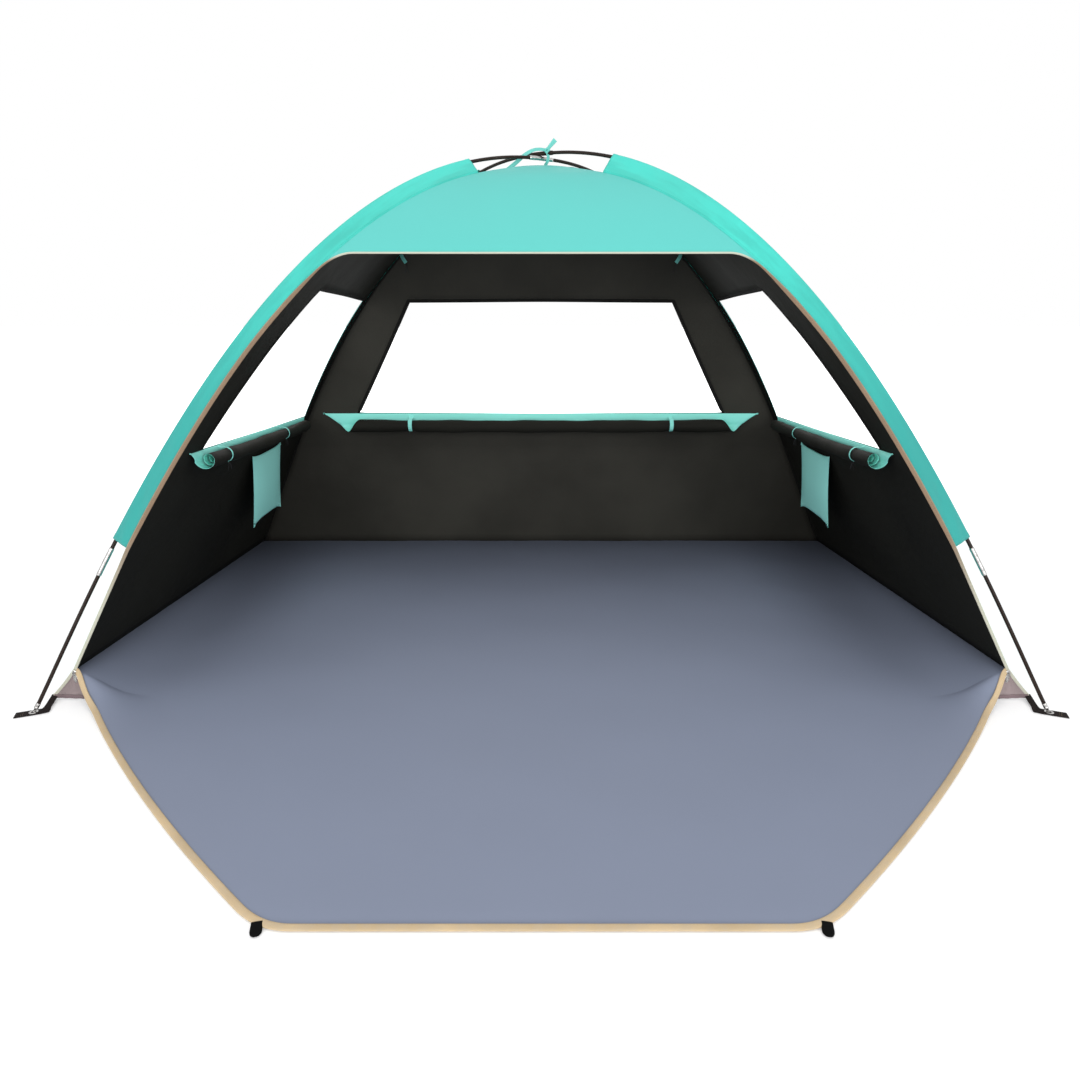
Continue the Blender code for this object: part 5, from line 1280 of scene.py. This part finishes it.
def roll_points(ends, straps, seed, radius, drop, count=130):
    """The rolled flap in its own frame (into, along, up).

    Rows run along the sill. The cloth's two ends follow the edge laws, the roll is drawn in at its
    straps by bell curves, sags a little between them and has a slow unevenness.
    """
    section, length = roll_section(radius, drop)
    low, high = ends(length)
    share = np.linspace(0.0, 1.0, count)[:, None]
    along = mix(low[None], high[None], share)
    centre = np.array([radius + 0.0005, -drop])
    wound = smooth_step(length, 0.012, 0.045)[None]
    pinch = sum(bump_at(along, place, 0.020) for place in straps)
    uneven = (0.05 * np.sin(along * 2 * math.pi / 0.31 + seed)
              + 0.03 * np.sin(along * 2 * math.pi / 0.13 + 2 * seed))
    scale = 1.0 - wound * (0.16 * pinch - uneven)
    into = centre[0] + (section[:, 0] - centre[0]) * scale
    up = centre[1] + (section[:, 1] - centre[1]) * scale
    up = up - wound * 0.0035 * (1 - np.clip(pinch, 0, 1)) * (1 - np.abs(2 * share - 1) ** 3)
    return np.stack([into, along, up], axis=2)


def in_frame(points, origin, into, along, up):
    """Points given as (into, along, up) of a frame, in tent coordinates."""
    return (np.asarray(origin) + points[..., :1] * np.asarray(into) + points[..., 1:2] * np.asarray(along)
            + points[..., 2:3] * np.asarray(up))


def sill_frame(flap):
    """A flap's frame, from the hinge that it turns on: a point of the hinge, the level way into the tent,
    the way along the hinge with growing x, and the way up, square to both."""
    hinge = next(joint for joint in frame["joints"] if joint["name"] == f"flap_{flap}_lift")
    axis = np.array(hinge["axis"], float)
    into = unit(np.array([-axis[1], axis[0], 0.0]))
    return dict(origin=np.array(hinge["pos_m"]) - MIDDLE, into=into, along=axis if axis[0] > 0 else -axis,
                up=np.cross(axis, into))


SIDE_SILL, REAR_SILL = sill_frame("right"), sill_frame("rear")
SIDE_ROLL = (0.0200, 0.0215)
REAR_ROLL = (0.0245, 0.0370)
SIDE_BEND, REAR_BEND = 0.0075, 0.017
SIDE_STRAPS = (-0.300, 0.180)
REAR_STRAPS = (-0.475, 0.475)


def side_flap_ends(length):
    """Where the side flap's cloth ends along the sill: each end draws in fast at first, then slowly."""
    quick = 1 - np.exp(-length / 0.03)
    return -0.463 + 0.25 * length + 0.03 * quick, 0.485 - 0.10 * length - 0.045 * quick


def rear_flap_ends(length):
    """The same for the rear flap, whose two ends mirror each other."""
    half = 0.80 - 0.71 * length - 0.04 * (1 - np.exp(-length / 0.03))
    return -half, half


def bend_at_sill(piece, place, mirror):
    """Works out two points, in from the sill and down, that nothing uses, and bakes the piece's place into
    its mesh."""
    way = unit(np.array(place["into"]) - np.array(place["up"]))
    reach = SIDE_BEND if place is SIDE_SILL else REAR_BEND
    start, end = (turned(place["origin"] + way * length, mirror, 1) + MIDDLE for length in (0.001, reach))
    tuple(start)
    tuple(end)
    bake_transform(piece)


def make_roll(name, node, points, place, mirror):
    """A rolled flap: black lining outside and, inside, a lighter copy of the canopy's teal that is painted
    light.
    """
    points = turned(in_frame(points, **place), mirror, 1)
    roll = add_surface(name, points, [FLAP_TEAL_PAINTED_LIGHT, LINING], None, out_from=None, wall=CLOTH,
                       slot="coated_lining", replaces=[node])
    bend_at_sill(roll, place, mirror)
    face_lining_out(roll, points)
    return roll


def face_lining_out(roll, points):
    """Turns the sheet so that its back, the lining, is on the outside of the winding.

    The test is one column of the first turn: its normal has to point at the roll's axis.
    """
    mesh = roll.data
    middle = points[len(points) // 2]
    axis = middle[30:].mean(0)
    ring = middle[24]
    centres = np.empty(3 * len(mesh.polygons))
    mesh.polygons.foreach_get("center", centres)
    nearest = np.linalg.norm(centres.reshape(-1, 3) - MIDDLE - ring, axis=1).argmin()
    if np.dot(mesh.polygons[int(nearest)].normal, axis - ring) < 0:
        mesh.flip_normals()


def strap_path(radius, drop, stand_off=0.0016):
    """A roll strap's line as (into, up): from the sill over the front of the roll and under it."""
    angle = np.linspace(math.radians(110), math.radians(-75), 30)
    outer = radius * 0.86 + stand_off
    over = np.stack([radius + outer * np.cos(angle), -drop + outer * np.sin(angle)], 1)
    start = np.array([[0.0008, 0.0010], [0.0030, over[0, 1] * 0.5]])
    return np.vstack([start, over])


def make_roll_straps():
    """Straps round the rolls, each with a small loop and two loose ends below it."""
    rolls = [(side, mirror, SIDE_SILL, SIDE_ROLL, zip(("front", "rear"), SIDE_STRAPS), 0.008)
             for side, mirror in SIDES]
    rolls.append(("rear", 1, REAR_SILL, REAR_ROLL, zip(("left", "right"), REAR_STRAPS), 0.017))
    for flap, mirror, sill, roll, straps, width in rolls:
        section = strap_path(*roll)
        for label, place in straps:
            line = np.stack([section[:, 0], np.full(len(section), place), section[:, 1]], 1)
            add_strap(f"roll_tie_{flap}_{label}", f"flap_{flap}", f"roll_strap_{flap}_{label}", line, sill,
                      mirror, width, roll)


def add_strap(name, body, node, line, place, mirror, width, roll):
    """One strap that narrows towards its end, and its two loose ends."""
    path = rounded_path(turned(in_frame(line, **place), mirror, 1), 50, 1)
    centre = turned(in_frame(np.array([[roll[0], line[0, 1], -roll[1]]]), **place), mirror, 1)[0]
    strap = add_band(name, path, unit(path - centre), np.linspace(width, width * 0.72, 50), 0.0011,
                     STRAP_RIBBON, None, slot="canopy_fabric", replaces=[node])
    bend_at_sill(strap, place, mirror)
    end = line[-1]
    for k, slant in enumerate((-1, 1)):
        drop = np.array([[end[0] - 0.001, end[1], end[2] + 0.001],
                         [end[0] + 0.003, end[1] + slant * 0.003, end[2] - 0.004],
                         [end[0] + 0.003, end[1] + slant * 0.009, end[2] - 0.013],
                         [end[0] + 0.002, end[1] + slant * 0.013, end[2] - 0.022]])
        tail = rounded_path(turned(in_frame(drop, **place), mirror, 1), 14)
        add_band(f"{name}_end_{k + 1}", tail, unit(tail - centre), 0.0022, 0.0009, CORD_BLACK, body,
                 slot="shock_cord")


def make_rolls():
    """The three rolled flaps and their straps."""
    side = roll_points(side_flap_ends, SIDE_STRAPS, 0.6, *SIDE_ROLL)
    for label, mirror in SIDES:
        make_roll(f"window_flap_{label}", f"window_roll_{label}", side, SIDE_SILL, mirror)
    rear = roll_points(rear_flap_ends, REAR_STRAPS, 2.1, *REAR_ROLL, 180)
    make_roll("window_flap_rear", "window_roll_rear", rear, REAR_SILL, 1)
    make_roll_straps()


# Pockets
def make_pockets():
    """Hanging pockets: rings down the pouch, a flat back and a bellied front, drawn in along all edges."""
    height, half_width, middle_y = 0.225, 0.125, 0.185
    top_z, back_x, lean = 0.450, 0.8852, 0.020
    level = np.linspace(0.0, 1.0, 34)[:, None]
    angle = np.linspace(0.0, 2 * math.pi, 64, endpoint=False)[None, :]
    across = np.sign(np.cos(angle)) * np.abs(np.cos(angle)) ** 0.55
    front = np.clip(np.sin(angle), 0.0, None) ** 0.8
    pull = 1.0 - 0.055 * np.sin(math.pi * level)
    belly = 0.003 + 0.013 * np.sin(math.pi * np.clip(level, 0, 1)) ** 0.8 * (1 - level * 0.4)
    belly = np.where(level > 0.97, 0.0014, belly)
    y = middle_y + half_width * across * pull - 0.010 * level
    edge = np.abs(across) ** 4
    z = top_z - height * level + (1 - edge) * (0.013 * level ** 3 - 0.007 * (1 - level) ** 6)
    depth = belly * front * (1 - 0.75 * np.abs(across) ** 3) + 0.0005 * ripple(y, z, 1.0, longest=0.12,
                                                                          shortest=0.03) * front
    x = back_x + lean * level - np.maximum(depth, 0.0)
    points = np.stack([x, y, z], axis=2)
    for side, sign in SIDES:
        pouch = turned(points, sign, 1)
        pocket = add_surface(f"pocket_pouch_{side}", pouch, POCKET_TEAL_PAINTED_LIGHT, f"{side}_pocket", wrap_columns=True,
                             out_from=pouch.mean((0, 1)), wall=CLOTH, slot="canopy_fabric",
                             replaces=[f"pocket_{side}"], offset=-1.0)
        mouth = pouch[0, :33] + np.array([-sign * 0.0006, 0.0, -0.005])
        add_band(f"pocket_hem_{side}", mouth, (-sign, 0.0, 0.0), 0.0095, 0.0013, POCKET_TEAL_PAINTED_LIGHT,
                 f"{side}_pocket", slot="canopy_fabric")


# Tie at the crossing
def make_apex_tie():
    """A ribbon from the canopy up over both poles, a knot, a second strand down and two loose ends."""
    strands = {
        "left": [(-0.088, -0.006, CANOPY_TOP - 0.011), (-0.062, -0.010, 1.252), (-0.040, -0.012, 1.2700),
                 (-0.018, -0.012, 1.2800), (0.004, -0.012, 1.2805), (0.018, -0.013, 1.2760)],
        "right": [(0.010, -0.004, CANOPY_TOP - 0.001), (0.017, -0.014, 1.250), (0.019, -0.015, 1.263),
                  (0.016, -0.014, 1.2755)],
        "tail": [(0.014, -0.013, 1.2760), (0.022, -0.014, 1.2860), (0.037, -0.014, 1.3020)],
    }
    for name, places in strands.items():
        path = rounded_path(places, 30)
        options = dict(replaces=["apex_tie"]) if name == "left" else {}
        width = {"left": np.linspace(0.0115, 0.0070, 30), "right": 0.0080,
                 "tail": np.linspace(0.0075, 0.0125, 30)}[name]
        add_band(f"crossing_tie_{name}", path, (0.0, -1.0, 0.15), width, 0.0011, RIBBON, "canopy",
                 slot="canopy_fabric", **options)
    turn = np.linspace(0.0, 2 * math.pi, 40, endpoint=False)
    knot = np.stack([0.0165 + 0.0052 * np.cos(turn), -0.0135 + 0.0012 * np.sin(2 * turn),
                     1.2768 + 0.0048 * np.sin(turn)], 1)
    add_band("crossing_tie_knot", knot, (0.0, -1.0, 0.0), 0.0050, 0.0046, RIBBON, "canopy", closed=True,
             slot="canopy_fabric")


# Hardware that stays from the frame
def dress_hardware():
    """Steel on the grommets, sliders and pulls, which stay as the frame's own solids."""
    for node in frame["nodes"].values():
        if node.name.startswith(("grommet_", "zip_slider_", "zip_pull_")):
            node.data.materials.clear()
            node.data.materials.append(STEEL)


# Studio: each light's name, place, target, size and power
LIGHTS = (("top_softbox", (0.0, -0.9, 8.0), (0.0, -0.6, 0.0), 4.5, 85.0),
          ("left_fill", (-1.8, -4.0, 1.6), (0.6, 0.3, 0.40), 2.0, 56.0),
          ("rear_fill", (0.0, 5.4, 2.0), (0.0, 0.6, 0.6), 3.0, 75.0),
          ("right_fill", (1.8, -4.0, 1.6), (-0.6, 0.3, 0.40), 2.0, 56.0))


def seen_rays(tree):
    """1 for rays of the camera, of mirrors and through glass, and 0 for those that only carry light."""
    rays = tree.nodes.new("ShaderNodeLightPath")
    seen = math_node(tree, "MAXIMUM", rays.outputs["Is Camera Ray"], rays.outputs["Is Glossy Ray"])
    return math_node(tree, "MAXIMUM", seen, rays.outputs["Is Transmission Ray"])


def make_stage():
    """A white floor that keeps the tent's shadow: it scatters light, and shows a little more to the
    camera, to mirrors and through glass, so that open ground reads white."""
    material = bpy.data.materials.new("studio_floor")
    material.use_nodes = True
    tree = material.node_tree
    shader = tree.nodes["Principled BSDF"]
    shader.inputs["Base Color"].default_value = (0.80, 0.80, 0.80, 1.0)
    shader.inputs["Roughness"].default_value = 1.0
    shader.inputs["Specular IOR Level"].default_value = 0.0
    place = tree.nodes.new("ShaderNodeTexCoord").outputs["Object"]
    distance = tree.nodes.new("ShaderNodeVectorMath")
    distance.operation = "LENGTH"
    tree.links.new(place, distance.inputs[0])
    glow = map_range(tree, distance.outputs["Value"], 1.5, 3.8, 0.24, 1.0)
    tree.links.new(math_node(tree, "MULTIPLY", seen_rays(tree), glow), shader.inputs["Emission Strength"])
    shader.inputs["Emission Color"].default_value = (1.0, 1.0, 1.0, 1.0)
    mesh = bpy.data.meshes.new("studio_floor")
    size = 30.0
    corners = [(-size, -size, 0), (size, -size, 0), (size, size, 0), (-size, size, 0)]
    mesh.from_pydata(corners, [], [(0, 1, 2, 3)])
    mesh.materials.append(material)
    floor = bpy.data.objects.new("studio_floor", mesh)
    floor.location.z = -0.0006
    bpy.context.scene.collection.objects.link(floor)


def make_world():
    """Even pale light from all round, plain white where the camera or a mirror looks."""
    world = bpy.data.worlds.new("studio")
    bpy.context.scene.world = world
    world.use_nodes = True
    tree = world.node_tree
    background = tree.nodes["Background"]
    tree.links.new(map_range(tree, seen_rays(tree), 0.0, 1.0, 0.80, 1.0), background.inputs["Strength"])
    background.inputs["Color"].default_value = (1.0, 1.0, 1.0, 1.0)


def add_area_light(name, place, target, size, power):
    """A square soft light at a place, turned to a target."""
    lamp = bpy.data.lights.new(name, "AREA")
    lamp.size = size
    lamp.energy = power
    obj = bpy.data.objects.new(name, lamp)
    obj.location = place
    obj.rotation_euler = (Vector(target) - Vector(place)).to_track_quat("-Z", "Y").to_euler()
    bpy.context.scene.collection.objects.link(obj)


def make_camera():
    """A level-framed camera in front of the tent, pitched down."""
    data = bpy.data.cameras.new("camera")
    data.sensor_width = SENSOR_MM
    data.sensor_fit = "HORIZONTAL"
    data.lens = CAMERA_FOCAL_PIXELS * SENSOR_MM / IMAGE_PIXELS
    camera = bpy.data.objects.new("camera", data)
    camera.location = (CAMERA_X, CAMERA_Y + float(MIDDLE[1]), CAMERA_HEIGHT)
    camera.rotation_euler = (math.pi / 2 - CAMERA_PITCH, 0.0, 0.0)
    bpy.context.scene.collection.objects.link(camera)
    bpy.context.scene.camera = camera


make_camera()
make_world()
make_stage()
for light in LIGHTS:
    add_area_light(*light)
bpy.context.scene.view_settings.view_transform = "Standard"

make_walls()
make_seam_tapes()
make_opening_tape(make_visor())
make_sleeves()
make_pole("a", CROSSING_HEIGHT - CROSSING_HALF, -1)
make_pole("b", CROSSING_HEIGHT + CROSSING_HALF, 1)
make_main_floor()
make_porch()
make_foot_straps()
make_gussets()
make_peg_tabs()
make_rolls()
make_pockets()
make_apex_tie()
dress_hardware()
